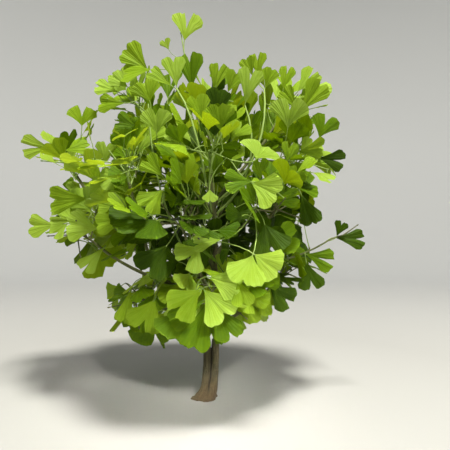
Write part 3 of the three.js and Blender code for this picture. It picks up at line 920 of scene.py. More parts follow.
def seen_at(places):
    """Where the viewer sees places on the upright plane through the trunk."""
    start = places - EYE
    return (EYE + start * (-EYE[1] / start[..., [1]]))[..., [0, 2]]


def hides(leaves, shown):
    """True for each leaf that stands between the viewer and a leaf that shows."""
    start = leaves.samples()[..., None, :] - EYE
    depth = dot(shown.base - EYE, shown.normal) / dot(start, shown.normal)
    reach, angle = shown.fan_place(EYE + start * depth[..., None] - shown.base)
    over = (reach < shown.length) & (np.abs(angle) < shown.half_angle) & (depth > 1)
    return over.sum(axis=1).max(axis=1) >= HIDING_SAMPLES


@dataclass
class Showing:
    """What the viewer must see: leaves, upright shoots and the gaps between the leaves."""

    leaves: Leaves
    shoots: Rods

    def __post_init__(self):
        """Notes each view to keep clear: where it is seen, how wide, and how far back."""
        through = np.column_stack([GAPS, np.full(len(GAPS), FAR_BACK)])
        sizes = np.full(len(self.shoots.places), SHOOT_SHOWS)
        before = [seen_at(self.shoots.places), sizes, self.shoots.places[:, 1]]
        self.views = np.vstack([through, np.column_stack(before)])

    def spoilt_by(self, leaves):
        """True for each leaf that would hide a leaf or a shoot, or close a gap."""
        samples = leaves.samples()
        away = length_of(seen_at(samples)[..., None, :] - self.views[:, :2])
        inside = (away < self.views[:, 2]) & (samples[..., [1]] < self.views[:, 3])
        return hides(leaves, self.leaves) | (inside.any(axis=2).sum(axis=1) >= GAP_SAMPLES)


def make_way(sprays, showing):
    """Takes away the leaves that would cross or hide what shows, or close a gap."""
    for spray in sprays:
        leaves = spray.leaves
        unwanted = crossing(leaves, showing.leaves) | touched_by(leaves, showing.shoots)
        spray.leaves = leaves.rows(~(unwanted | showing.spoilt_by(leaves)))


# Finer growth


def narrowed(leaves):
    """Leaves as they open at their height: narrower fans at the top of the crown."""
    opening = mix(1, TOP_FAN, risen(leaves.base[:, 2]))
    return replace(leaves, half_angle=leaves.half_angle * opening)


def opened(leaf, turn, growth):
    """A leaf that has turned to the sun by a share, and grown."""
    middle, spread = SUN_TURN_HEIGHT
    pull = turn * SUN_TURN * np.exp(-(((risen(leaf.base[:, [2]]) - middle) / spread) ** 2))
    normal = heading((leaf.normal, 1), (unit(SUN), pull))
    way = unit(without(leaf.way, normal))
    side = np.cross(way, normal)
    return replace(narrowed(leaf), way=way, side=side, normal=normal, length=leaf.length * growth)


def open_leaves(sprays, showing):
    """Each leaf turns to the sun and grows, as far as its neighbours leave it room."""
    for spray in sprays:
        for row in range(len(spray.leaves.length)):
            leaf = spray.leaves.rows([row])
            others = joined(showing.leaves, *(other.leaves for other in sprays))
            away = length_of(others.base - leaf.base)
            others = others.rows((away < SPUR_SPAN) & (away > 0))
            choices = joined(*(opened(leaf, *opening) for opening in OPENINGS))
            samples = choices.samples()
            fits = (spray.mass.holds(samples) | in_crown(samples)).all(axis=1)
            for rods in (spray.wood, spray.rods, showing.shoots):
                fits &= ~touched_by(choices, rods)
            fits &= ~(crossing(choices, others) | showing.spoilt_by(choices))
            chosen = np.argmax(fits) if fits.any() else len(OPENINGS) - 1
            spray.leaves.put(row, choices.rows([chosen]))


class Spur(NamedTuple):
    """A short twig with a tuft of leaves at its end."""

    route: Route
    leaves: Leaves


def grow_spurs(sprays, limbs, wood, showing):
    """Spurs leave the boughs and shoots wherever there is still room for a tuft of leaves."""
    grown = joined(showing.leaves, *(spray.leaves for spray in sprays))
    hearts = list(grown.hearts())
    all_twigs = [twig for spray in sprays for twig in spray.twigs()]
    twigs = joined(rods_of(all_twigs, TWIG_RODS), showing.shoots)
    chance = Chance(SPUR_SEED)
    hosts = [(limb, BOUGH_TUFTS) for limb in limbs.values()]
    hosts += [(twig, SHOOT_TUFTS) for twig in all_twigs]
    spurs = []
    turn = 0
    for route, tufts in hosts:
        spots = 1 + round(route.span() / tufts.spacing)
        for share in np.linspace(tufts.start, LAST_SPUR, spots):
            foot = route.place(share)
            if not in_crown(foot) or risen(foot[2]) > tufts.top:
                continue
            turn += GOLDEN_ANGLE
            along = route.way(share)
            radial = turned(square_to(along), along, turn)
            way = heading(*zip((radial, along, UP), SPUR_HEADING))
            depth = route.radius(share) * SPUR_DEPTH
            foot = foot + radial * depth
            tip = foot + way * (depth + chance.between(*tufts.lengths))
            near = [rods.rows(length_of(rods.places - tip) < SPUR_SPAN) for rods in (wood, twigs)]
            if (length_of(near[0].places - tip) - near[0].radii < LEAF_CLEARANCE).any():
                continue
            tuft = []
            for _ in range(tufts.leaves):
                numbers = chance.rows(SPUR_DRAWS, LEAF_NUMBERS)
                draws = draw_leaves(numbers, tip, way, 0, math.pi, tufts.size, tufts.stalk)
                draws = narrowed(draws)
                others = grown.rows(length_of(grown.base - tip) < SPUR_SPAN)
                rows = fitting(draws, in_crown, *near, others)
                rows = rows[~showing.spoilt_by(draws.rows(rows))]
                room = room_for(draws, hearts)
                best = best_of(draws, rows[room[rows] > tufts.room], room)
                if best is not None:
                    grown = joined(grown, best)
                    hearts.append(best.hearts()[0])
                    tuft.append(best)
            if tuft:
                spurs.append(Spur(Route([foot, tip], tufts.radii), joined(*tuft)))
    return spurs


# Mesh making


def mesh_object(name, points, faces, edges=()):
    """An object at the origin from points in millimetres."""
    mesh = bpy.data.meshes.new(name)
    mesh.from_pydata((np.asarray(points) * METRES).tolist(), list(edges), faces)
    piece = bpy.data.objects.new(name, mesh)
    bpy.context.collection.objects.link(piece)
    return piece


def settle(piece):
    """Turns a piece and its modifiers into one plain mesh."""
    ready = piece.evaluated_get(bpy.context.evaluated_depsgraph_get())
    mesh = bpy.data.meshes.new_from_object(ready)
    old = piece.data
    piece.modifiers.clear()
    piece.data = mesh
    mesh.name = piece.name
    bpy.data.meshes.remove(old)


def smooth_with(piece, material):
    piece.data.materials.clear()
    piece.data.materials.append(material)
    piece.data.shade_smooth()


def note(mesh, name, values):
    """Notes a number or a vector at each point of a mesh, for its finish or its nodes."""
    kind, key = ("FLOAT", "value") if values.ndim == 1 else ("FLOAT_VECTOR", "vector")
    attribute = mesh.attributes.new(name, kind, "POINT")
    attribute.data.foreach_set(key, values.astype(np.float32).ravel())


def vectors_of(items, key):
    values = np.empty(len(items) * 3, np.float32)
    items.foreach_get(key, values)
    return values.reshape(-1, 3)


def lofted(rings):
    """The points and faces of a closed tube through rings of as many points each.

    The last two faces are its lids.
    """
    count, sides = rings.shape[:2]
    corner = np.arange(count * sides).reshape(count, sides)
    after = np.roll(corner, -1, axis=1)
    walls = np.stack([corner[:-1], after[:-1], after[1:], corner[1:]], axis=-1).reshape(-1, 4)
    return rings.reshape(-1, 3), [*walls.tolist(), corner[0, ::-1].tolist(), corner[-1].tolist()]


# Nodes and materials


class Signal:
    """One output of a node. The usual signs between signals add Math nodes."""

    def __init__(self, tree, socket):
        self.tree = tree
        self.socket = socket

    def maths(self, operation, one, other):
        return self.tree.node("ShaderNodeMath", {"operation": operation}, {0: one, 1: other})

    def __add__(self, other):
        return self.maths("ADD", self, other)

    __radd__ = __add__

    def __mul__(self, other):
        return self.maths("MULTIPLY", self, other)

    __rmul__ = __mul__

    def __sub__(self, other):
        return self.maths("SUBTRACT", self, other)

    def __rsub__(self, other):
        return self.maths("SUBTRACT", other, self)


class Tree:
    """A tree of nodes, with one way to add any node to it."""

    def __init__(self, tree):
        self.tree = tree

    def node(self, kind, settings=None, inputs=None, output=0):
        """Adds a node with its settings first, and returns one of its outputs."""
        node = self.tree.nodes.new(kind)
        for key, value in (settings or {}).items():
            if key == "stops":
                for element, (place, shade) in zip(node.color_ramp.elements, value):
                    element.position = place
                    element.color = (shade, shade, shade, 1)
            else:
                setattr(node, key, value)
        for key, value in (inputs or {}).items():
            if isinstance(value, Signal):
                self.tree.links.new(value.socket, node.inputs[key])
            else:
                node.inputs[key].default_value = value
        return Signal(self, node.outputs[output]) if node.outputs else node


class Finish(Tree):
    """A material. Its patterns lie in space, in metres, unless they say otherwise."""

    def __init__(self, name):
        self.material = bpy.data.materials.new(name)
        self.material.use_nodes = True
        super().__init__(self.material.node_tree)
        self.tree.nodes.clear()
        self.place = self.node("ShaderNodeTexCoord", output=3)

    def noise(self, vector, texture):
        values = dict(zip(("Scale", "Detail", "Roughness"), texture))
        return self.node("ShaderNodeTexNoise", {}, {"Vector": vector, **values})

    def rise(self, value, start, end):
        """A signal that goes from 0 to 1 as a value goes from its start to its end."""
        return self.node("ShaderNodeValToRGB", {"stops": [(start, 0), (end, 1)]}, {"Fac": value})

    def sine(self, value):
        return self.node("ShaderNodeMath", {"operation": "SINE"}, {0: value})

    def part(self, vector, index):
        return self.node("ShaderNodeSeparateXYZ", {}, {"Vector": vector}, index)

    def blend(self, share, one, other):
        one, other = ((*tone, 1) if isinstance(tone, tuple) else tone for tone in (one, other))
        settings = {"data_type": "RGBA"}
        return self.node("ShaderNodeMix", settings, {0: share, 6: one, 7: other}, output=2)

    def stretched(self, vector, along):
        return self.node("ShaderNodeMapping", {}, {"Vector": vector, "Scale": (1, 1, along)})

    def bump(self, height, strength, distance):
        inputs = {"Height": height, "Strength": strength, "Distance": distance}
        return self.node("ShaderNodeBump", {}, inputs)

    def skin(self, colour, roughness, **more):
        inputs = {"Base Color": colour, "Roughness": roughness, **more}
        return self.node("ShaderNodeBsdfPrincipled", {}, inputs)

    def show(self, surface):
        self.node("ShaderNodeOutputMaterial", {}, {"Surface": surface})
        return self.material


FAN_RIBS = 170  # radians of sine over the fan map's width
FAN_PLEATS = 62
LEAF_MOTTLE = Texture(45, 4, 0.6)
LEAF_GRAIN = Texture(900, 2, 0.6)
RIB_WANDER = 6  # how far the mottle bends the ribs, and the pleats
PLEAT_WANDER = 8
MOTTLE_RISE = (0.34, 0.66)  # leaves are paler from one value of the mottle to the other
RIM_RISE = (0.86, 1)
# How much paler each pattern makes a leaf, and how much each stands out
MOTTLE_TONE = 0.5
# The pleats' tone is painted shading across the folds
PLEAT_PAINTED_SHADING = 0.12
RIB_TONE = 0.1
# The rim's tone is a painted highlight along the leaf's edge
RIM_PAINTED_HIGHLIGHT = 0.35
LEAF_TONE = 0.16
PLEAT_RELIEF = 0.5
RIB_RELIEF = 0.32
GRAIN_RELIEF = 0.4
LEAF_BUMP = (0.6, 0.0011)  # how strong and how high, like those of stalks, twigs and bark
LEAF_ROUGHNESS = (0.42, 0.62)
LEAF_GLOSS = 0.1


def leaf_finish(name, tint):
    """A thin leaf: ribbed from its stalk to its rim, and light shines through it. Its pleats carry painted
    shading, and its rim a painted highlight.
    """
    finish = Finish(name)
    fan = finish.node("ShaderNodeUVMap", {"uv_map": "fan"})
    across, outward = finish.part(fan, 0), finish.part(fan, 1)
    mottle = finish.noise(finish.place, LEAF_MOTTLE)
    grain = finish.noise(finish.place, LEAF_GRAIN)
    ribs = finish.sine(across * FAN_RIBS + mottle * RIB_WANDER)
    pleats = finish.sine(across * FAN_PLEATS + mottle * PLEAT_WANDER)
    # The pleats' bands of light and dark are painted shading; the mottle and the ribs are the leaf's own
    # colour
    paler = finish.rise(mottle, *MOTTLE_RISE) * MOTTLE_TONE + pleats * PLEAT_PAINTED_SHADING + ribs * RIB_TONE
    # A painted highlight: the leaf is paler along its rim
    rim = finish.rise(outward, *RIM_RISE) * RIM_PAINTED_HIGHLIGHT
    relief = pleats * PLEAT_RELIEF + ribs * RIB_RELIEF + grain * GRAIN_RELIEF
    skin = finish.skin(
        finish.blend(paler + rim + LEAF_TONE, tint.shade, tint.face),
        mix(*LEAF_ROUGHNESS, mottle),
        Normal=finish.bump(relief, *LEAF_BUMP),
        **{"Specular IOR Level": LEAF_GLOSS},
    )
    through = finish.node("ShaderNodeBsdfTranslucent", {}, {"Color": (*tint.glow, 1)})
    inputs = {0: tint.share, 1: skin, 2: through}
    return finish.show(finish.node("ShaderNodeMixShader", {}, inputs))


STALK_STREAKS = Texture(320, 3, 0.6)
STALK_GRAIN = Texture(1400)
STALK_GREENS = ((0.11, 0.19, 0.02), (0.3, 0.42, 0.07))
STALK_BUMP = (0.3, 0.0003)
STALK_ROUGHNESS = (0.38, 0.63)


def stalk_finish():
    """Fresh green stalks, paler in streaks."""
    finish = Finish("leaf stalk")
    streaks = finish.noise(finish.place, STALK_STREAKS)
    relief = finish.bump(finish.noise(finish.place, STALK_GRAIN), *STALK_BUMP)
    colour = finish.blend(streaks, *STALK_GREENS)
    return finish.show(finish.skin(colour, mix(*STALK_ROUGHNESS, streaks), Normal=relief))


TWIG_PATCHES = Texture(130, 4, 0.6)
TWIG_FLECKS = Texture(900, 2)
FLECK_RISE = (0.6, 0.68)
FLECK_TONE = 0.35
FLECK_RELIEF = 0.6
TWIG_BUMP = (0.6, 0.0006)
TWIG_ROUGHNESS = (0.6, 0.8)
FLECK_COLOUR = (0.24, 0.2, 0.11)
BROWN_BARK = ((0.045, 0.045, 0.012), (0.11, 0.12, 0.03))
GREEN_BARK = ((0.13, 0.215, 0.03), (0.29, 0.41, 0.085))


def twig_finish(name, tones):
    """Young bark with pale flecks."""
    finish = Finish(name)
    patches = finish.noise(finish.place, TWIG_PATCHES)
    flecks = finish.rise(finish.noise(finish.place, TWIG_FLECKS), *FLECK_RISE)
    colour = finish.blend(flecks * FLECK_TONE, finish.blend(patches, *tones), FLECK_COLOUR)
    relief = finish.bump(patches + flecks * FLECK_RELIEF, *TWIG_BUMP)
    return finish.show(finish.skin(colour, mix(*TWIG_ROUGHNESS, patches), Normal=relief))


BARK_RIDGES = Texture(420, 5, 0.65)
RIDGE_STRETCH = 0.09  # how much slower the pattern changes along a limb
RIDGE_RISE = (0.34, 0.62)
BARK_PATCHES = Texture(75, 4, 0.6)
PATCH_STRETCH = 0.35
PATCH_TONE = 0.4
BARK_SPECKS = Texture(1100, 2)
SPECK_RISE = (0.6, 0.7)
SPECK_TONE = 0.25
SPECK_RELIEF = 0.25
LOW_BARK_SCALE = 18  # the fade below is over the height in metres times this
LOW_BARK_FADE = (0.05, 0.75)
LOW_BARK_TONE = 0.5
# Painted shade in the groove between the stems: how strongly it darkens the bark, and its near-black
# colour below
GROOVE_SHADE_STRENGTH = 0.85
BARK_BUMP = (0.8, 0.0009)
BARK_ROUGHNESS = (0.95, 0.7)
OLD_BARK = ((0.014, 0.011, 0.005), (0.12, 0.097, 0.042))
OLD_PATCHES = (0.07, 0.066, 0.027)
YOUNG_BARK = ((0.07, 0.085, 0.02), (0.18, 0.21, 0.06))
SPECK_COLOUR = (0.3, 0.25, 0.16)
LOW_BARK = (0.13, 0.072, 0.03)
GROOVE_PAINTED_SHADE = (0.008, 0.006, 0.003)


def bark_finish():
    """Grey-brown bark whose fine ridges follow each limb, greener on the thin boughs, and darkened in the
    groove between the stems as painted shade.
    """
    finish = Finish("ridged bark")
    grain = finish.node("ShaderNodeAttribute", {"attribute_name": "grain"}, output=1)
    age = finish.node("ShaderNodeAttribute", {"attribute_name": "age"}, output=2)
    groove = finish.node("ShaderNodeAttribute", {"attribute_name": "groove"}, output=2)
    ridges = finish.noise(finish.stretched(grain, RIDGE_STRETCH), BARK_RIDGES)
    patches = finish.noise(finish.stretched(grain, PATCH_STRETCH), BARK_PATCHES)
    specks = finish.rise(finish.noise(grain, BARK_SPECKS), *SPECK_RISE)
    old = finish.blend(finish.rise(ridges, *RIDGE_RISE), *OLD_BARK)
    old = finish.blend(patches * PATCH_TONE, old, OLD_PATCHES)
    bark = finish.blend(age, finish.blend(patches, *YOUNG_BARK), old)
    bark = finish.blend(specks * SPECK_TONE, bark, SPECK_COLOUR)
    low = 1 - finish.rise(finish.part(finish.place, 2) * LOW_BARK_SCALE, *LOW_BARK_FADE)
    bark = finish.blend(low * LOW_BARK_TONE, bark, LOW_BARK)
    # Painted shade: the bark turns near black deep in the groove between the stems
    colour = finish.blend(groove * GROOVE_SHADE_STRENGTH, bark, GROOVE_PAINTED_SHADE)
    relief = finish.bump(ridges + specks * SPECK_RELIEF, *BARK_BUMP)
    return finish.show(finish.skin(colour, mix(*BARK_ROUGHNESS, ridges), Normal=relief))


# Trunk and boughs, as one skin with the bark's relief

FOOT_SIDES = 72
FOOT_RINGS = 14
FOOT_EASING = 0.5
ROOT_FADE = 1.6
FOOT_SINKS = -4  # below the ground, where the foot is cut
LIMB_SIDES = 14
LIMB_STEP = 4  # between a limb's rings
LEAST_STEPS = 4
WOOD_VOXEL = 1.08
SKIN_ROUNDS = 3
COLLAR_REACH = 5  # how far up a bough its collar fades
COLLAR_SWELL = 0.45
RIDGE_HEIGHT = 0.84
RIDGE_RAISE = 0.6
RIDGE_GRAIN = (0.62, 0.62, 0.06)
GNARL_HEIGHT = 1.5
LIMB_GNARLS = 0.25  # what limbs have of the foot's gnarls
GNARL_GRAIN = (0.2, 0.2, 0.07)
GNARL_START = (0, 0, 7)
OLD_RADIUS = 5.5
LEAST_STOUTNESS = 0.25
YOUNG_RADIUS = 2
AGEING = 2.5  # from young bark to old, in radius
GRAIN_STEPS = 60
# The groove between the stems: heights, how far to the right, and how deep. The bark sinks there, and
# painted shade darkens it.
GROOVE = np.array([(6, 8, 0), (14, 9.5, 0.6), (30, 12.5, 1), (56, 14.7, 1), (100, 15.8, 1), (126, 16, 0)])
GROOVE_WIDTH = 1.7
GROOVE_DEPTH = 1.2
SEAM = Route([(14, 3, 20), (15, 3, 60), (16, 3, 98)], (3, 1.2))  # where the stems have fused


def frames_along(route, steps):
    """Places along a route, each with its direction and a cross direction without twist."""
    shares = np.linspace(0, 1, steps + 1)
    ways = route.way(shares)
    acrosses = [square_to(ways[0])]
    for way in ways[1:]:
        acrosses.append(unit(without(acrosses[-1], way)))
    return shares, route.place(shares), ways, np.array(acrosses)


def limb_rings(route, is_bough):
    shares, places, ways, acrosses = frames_along(route, max(LEAST_STEPS, round(route.span() / LIMB_STEP)))
    radii = route.radius(shares)
    if is_bough:
        radii = radii * (1 + COLLAR_SWELL * np.exp(-shares * route.span() / COLLAR_REACH))
    turns = turns_round(LIMB_SIDES)[None, :, None]
    flat = np.cos(turns) * acrosses[:, None] + np.sin(turns) * np.cross(ways, acrosses)[:, None]
    return places[:, None] + radii[:, None, None] * flat


def foot_ring(height):
    """The flared foot at a height, with the swellings of its roots."""
    rise = min(max(height, 0) / FLARE_HEIGHT, 1)
    eased = rise**FOOT_EASING
    turns = turns_round(FOOT_SIDES)
    radius = np.full(FOOT_SIDES, mix(*FOOT_RADII, eased))
    for swellings, share in ((ROOT_SWELLINGS, (1 - rise) ** ROOT_FADE), (STEM_GAPS, rise)):
        for swelling in swellings:
            facing = np.maximum(0, np.cos(turns - math.radians(swelling.heading)))
            radius += swelling.reach * facing**swelling.sharpness * share
    x, y = mix(*FOOT_MIDDLES, eased)
    ring = (x + radius * np.cos(turns), y + radius * np.sin(turns), np.full(FOOT_SIDES, float(height)))
    return np.stack(ring, axis=1)


def groove_shade(points):
    """How deep each point lies in the groove between the two stems, from 0 to 1. The bark sinks there, and
    painted shade darkens it.
    """
    heights, middles, depths = GROOVE.T
    aside = points[:, 0] - np.interp(points[:, 2], heights, middles)
    return np.interp(points[:, 2], heights, depths) * np.exp(-((aside / GROOVE_WIDTH) ** 2))


class Grain:
    """Straightens the limbs, so that bark can follow them."""

    def __init__(self, routes):
        parts = [frames_along(route, GRAIN_STEPS) for route in routes]
        _, self.places, self.ways, self.acrosses = map(np.concatenate, zip(*parts))
        self.radii = np.concatenate([route.radius(part[0]) for route, part in zip(routes, parts)])
        steps = [length_of(np.diff(part[1], axis=0)) for part in parts]
        self.alongs = np.concatenate([[0, *np.cumsum(step)] for step in steps])
        self.tree = kdtree.KDTree(len(self.places))
        for index, place in enumerate(self.places):
            self.tree.insert(place, index)
        self.tree.balance()

    def of(self, points):
        """Each point in its straightened limb, and the limb's radius there."""
        nearest = np.array([self.tree.find(point)[1] for point in points])
        start = points - self.places[nearest]
        ways, acrosses = self.ways[nearest], self.acrosses[nearest]
        along = self.alongs[nearest] + dot(start, ways)
        sides = (dot(start, acrosses), dot(start, np.cross(ways, acrosses)), along)
        return np.stack(sides, axis=1), self.radii[nearest]


def bark_relief(grain, radii, heights):
    """How far the bark stands out: fine lengthwise ridges, and gnarls near the ground."""
    ridge, knot = (
        np.array([noise.noise(place) for place in places.tolist()])
        for places in (grain * RIDGE_GRAIN, grain * GNARL_GRAIN + GNARL_START)
    )
    stoutness = np.clip(radii / OLD_RADIUS, LEAST_STOUTNESS, 1)
    gnarled = np.clip(1 - heights / FLARE_HEIGHT, 0, 1)
    fine = -np.abs(ridge) * RIDGE_HEIGHT
    gnarls = knot * GNARL_HEIGHT * (LIMB_GNARLS * stoutness + gnarled)
    return (fine + RIDGE_RAISE) * stoutness + gnarls


def cut_at_ground(mesh):
    """Cuts the foot flat at ground level and closes it."""
    work = bmesh.new()
    work.from_mesh(mesh)
    everything = [*work.verts, *work.edges, *work.faces]
    cut = bmesh.ops.bisect_plane(
        work, geom=everything, plane_co=(0, 0, 0), plane_no=(0, 0, 1), clear_inner=True
    )
    rim = [item for item in cut["geom_cut"] if isinstance(item, bmesh.types.BMEdge)]
    bmesh.ops.edgeloop_fill(work, edges=rim)
    work.to_mesh(mesh)
    work.free()


def make_wood(limbs):
    tubes = [limb_rings(route, name.startswith("bough")) for name, route in limbs.items()]
    tubes += [limb_rings(route, False) for route in (*STUBS, SEAM)]
    heights = [FOOT_SINKS, *np.linspace(0, FLARE_HEIGHT, FOOT_RINGS)]
    tubes.append(np.array([foot_ring(height) for height in heights]))
    points, faces = [], []
    for places, walls in map(lofted, tubes):
        faces += [[len(points) + corner for corner in wall] for wall in walls]
        points += places.tolist()
    wood = mesh_object("trunk_and_boughs", points, faces)
    skin = wood.modifiers.new("one skin", "REMESH")
    skin.mode = "VOXEL"
    skin.voxel_size = WOOD_VOXEL * METRES
    rounding = wood.modifiers.new("rounding", "SMOOTH")
    rounding.iterations = SKIN_ROUNDS
    settle(wood)

    mesh = wood.data
    points = vectors_of(mesh.vertices, "co").astype(float) / METRES
    normals = vectors_of(mesh.vertex_normals, "vector")
    grain, radii = Grain([*limbs.values(), *STUBS]).of(points)
    groove = groove_shade(points)
    relief = bark_relief(grain, radii, points[:, 2]) - GROOVE_DEPTH * groove
    points = points + normals * relief[:, None]
    mesh.vertices.foreach_set("co", (points * METRES).astype(np.float32).ravel())
    note(mesh, "grain", grain * METRES)
    note(mesh, "age", np.clip((radii - YOUNG_RADIUS) / AGEING, 0, 1))
    # How deep each point lies in the groove, for the painted shade that the bark finish puts there
    note(mesh, "groove", groove)
    cut_at_ground(mesh)
    smooth_with(wood, bark_finish())
    return wood


# Twigs and leaf stalks, as tubes along their routes

TWIG_SIDES = 7
TWIG_STEPS = 9
KNOT_SWELL = 0.16
TWIG_SLIMNESS = 0.8
STEM_ROOT = 1.5  # how far a stem runs back into its bough
SPUR_SHARES = np.array([0, 0.5, 1])
STALK_SIDES = 5
STALK_SHARES = (0, 0.08, 0.25, 0.45, 0.65, 0.85, 1)
STALK_RADII = np.array([1.2, 0.9, 0.75, 0.7, 0.7, 0.74, 0.8, 0.35])  # to where it ends
STALK_END = 0.1  # how far a stalk runs on under its blade
STALK_STOUTNESS = 0.15
BUD_LENGTH = 4
BUD_RADIUS = 1.25
BUD_SHARES = np.array([-0.1, 0.2, 0.5, 0.8, 1])
GREEN_TWIGS = 0.5  # above this height in the crown, twigs are this year's green shoots


def tube_tree():
    """Geometry nodes that turn a mesh's edges into tubes as thick as its points say."""
    group = bpy.data.node_groups.new("round tubes", "GeometryNodeTree")
    for name, kind in (("Geometry", "Geometry"), ("Sides", "Int"), ("Finish", "Material")):
        group.interface.new_socket(name, in_out="INPUT", socket_type=f"NodeSocket{kind}")
    group.interface.new_socket("Geometry", in_out="OUTPUT", socket_type="NodeSocketGeometry")
    tree = Tree(group)
    lines, sides, finish = (tree.node("NodeGroupInput", output=index) for index in range(3))
    curve = tree.node("GeometryNodeMeshToCurve", {}, {"Mesh": lines})
    settings = {"data_type": "FLOAT"}
    thickness = tree.node("GeometryNodeInputNamedAttribute", settings, {"Name": "thickness"})
    inputs = {"Resolution": sides, "Radius": 1}
    circle = tree.node("GeometryNodeCurvePrimitiveCircle", {}, inputs)
    inputs = {"Curve": curve, "Profile Curve": circle, "Scale": thickness, "Fill Caps": True}
    tube = tree.node("GeometryNodeCurveToMesh", {}, inputs)
    real = tree.node("GeometryNodeRealizeInstances", {}, {"Geometry": tube})
    done = tree.node("GeometryNodeSetMaterial", {}, {"Geometry": real, "Material": finish})
    tree.node("NodeGroupOutput", {}, {"Geometry": done})
    return group


def make_tubes(name, paths, sides, tree, material):
    """One piece from paths, each an array of places and one of radii."""
    points, radii = map(np.concatenate, zip(*paths))
    starts = np.cumsum([0, *(len(places) for places, _ in paths)])
    edges = [
        (corner, corner + 1)
        for start, end in zip(starts, starts[1:])
        for corner in range(start, end - 1)
    ]
    piece = mesh_object(name, points, [], edges)
    note(piece.data, "thickness", radii * METRES)
    tubes = piece.modifiers.new("round tubes", "NODES")
    tubes.node_group = tree
    entries = {
        item.name: item.identifier for item in tree.interface.items_tree if item.in_out == "INPUT"
    }
    tubes[entries["Sides"]] = sides
    tubes[entries["Finish"]] = material
    settle(piece)
    smooth_with(piece, material)
    return piece


def twig_path(route, start=0.0):
    """A twig with a slight swelling at each knot, run back into what carries it."""
    shares = np.linspace(0, 1, TWIG_STEPS)
    places = route.place(shares)
    radii = route.radius(shares) * TWIG_SLIMNESS * (1 + KNOT_SWELL * (np.arange(TWIG_STEPS) % 2))
    root = places[0] - route.way(0) * start
    return np.vstack([root, places]), np.append(radii[0], radii)


def bud_path(route):
    """The bud at a twig's end."""
    radius = route.radii[1]
    swell = np.array([radius, BUD_RADIUS, BUD_RADIUS * 0.85, radius * 0.6, 0.15])
    return route.place(1) + route.way(1) * (BUD_SHARES * BUD_LENGTH)[:, None], swell


def twig_paths(sprays, spurs, green):
    """The twigs that are green, or else those that aren't."""

    def fits(route):
        return (risen(route.place(1)[2]) > GREEN_TWIGS) == green

    paths = []
    for spray in sprays:
        if fits(spray.stem):
            paths.append(twig_path(spray.stem, STEM_ROOT))
            paths += [path(shoot) for path in (twig_path, bud_path) for shoot in spray.shoots]
    routes = [spur.route for spur in spurs if fits(spur.route)]
    return paths + [(route.place(SPUR_SHARES), route.radius(SPUR_SHARES)) for route in routes]


def stalk_paths(leaves):
    """Each leaf's stalk, which runs on a little under its blade."""
    ends = leaves.base + leaves.way * leaves.length[:, None] * STALK_END
    sizes = np.minimum(1, leaves.length / BLADE_LENGTH + STALK_STOUTNESS)
    return [
        (np.vstack([Route(bends, (1, 1)).place(STALK_SHARES), end]), STALK_RADII * size)
        for *bends, end, size in zip(leaves.node, leaves.elbow, leaves.base, ends, sizes)
    ]


# Leaf blades

FAN_STATIONS = 17
FAN_RINGS = np.array([0.035, 0.3, 0.66, 1.0])[:, None, None]
FAN_CROWDING = 0.14  # how much the stations crowd towards the cleft
FAN_BASE = 0.66  # a fan's opening at its base, as a share of that at its rim
FAN_FLARE = 0.9
FAN_ROUNDING = 0.17
FAN_CLEFT_WIDTH = 0.15
FAN_CLEFT_DEPTH = 1.15
SCALLOP_DEPTH = 0.045
SCALLOP_RATE = 13
LOBE_DEPTH = 0.025
LOBE_RATE = 7
PLEAT_HEIGHT = 0.016
PLEAT_RATE = 15
LOBE_HEIGHT = 0.022
WIDEST_FAN = 2.4


def fan_points(leaves):
    """The points of each blade: leaves in rows, then rings, then stations."""
    step = np.linspace(-1, 1, FAN_STATIONS)
    a = (step * np.abs(step) ** FAN_CROWDING)[None, :, None]
    share = FAN_RINGS
    full = a * leaves.half_angle
    angle = full * mix(FAN_BASE, 1, share**FAN_FLARE)
    phase = leaves.phase
    scallops = SCALLOP_DEPTH * np.abs(np.sin(SCALLOP_RATE * full + phase))
    scallops = scallops + LOBE_DEPTH * np.sin(LOBE_RATE * full - 2 * phase)
    cleft = FAN_CLEFT_DEPTH * leaves.cleft * np.maximum(0, 1 - np.abs(a) / FAN_CLEFT_WIDTH) ** 0.8
    rim = 1 - FAN_ROUNDING * np.abs(a) ** 6 - cleft * share**2 + scallops * share**4
    pleats = PLEAT_HEIGHT * np.sin(PLEAT_RATE * full + 2 * phase)
    pleats = pleats + LOBE_HEIGHT * share**2 * np.sin(LOBE_RATE * full - phase)
    height = leaves.height(full, share) + leaves.length * share * pleats
    points = leaves.on_blades(angle, leaves.length * share * rim, height)
    places = np.stack(np.broadcast_arrays(0.5 + full / WIDEST_FAN, share), axis=-1)
    return points.transpose(2, 0, 1, 3), places.transpose(2, 0, 1, 3)


def make_blades(name, leaves, material):
    points, places = fan_points(leaves)
    corner = np.arange(points[..., 0].size).reshape(points.shape[:3])
    quads = [corner[:, :-1, :-1], corner[:, :-1, 1:], corner[:, 1:, 1:], corner[:, 1:, :-1]]
    faces = np.stack(quads, axis=-1).reshape(-1, 4)
    piece = mesh_object(name, points.reshape(-1, 3), faces.tolist())
    fan = piece.data.uv_layers.new(name="fan")
    fan.uv.foreach_set("vector", places.reshape(-1, 2)[faces.ravel()].astype(np.float32).ravel())
    smooth_with(piece, material)
    return piece


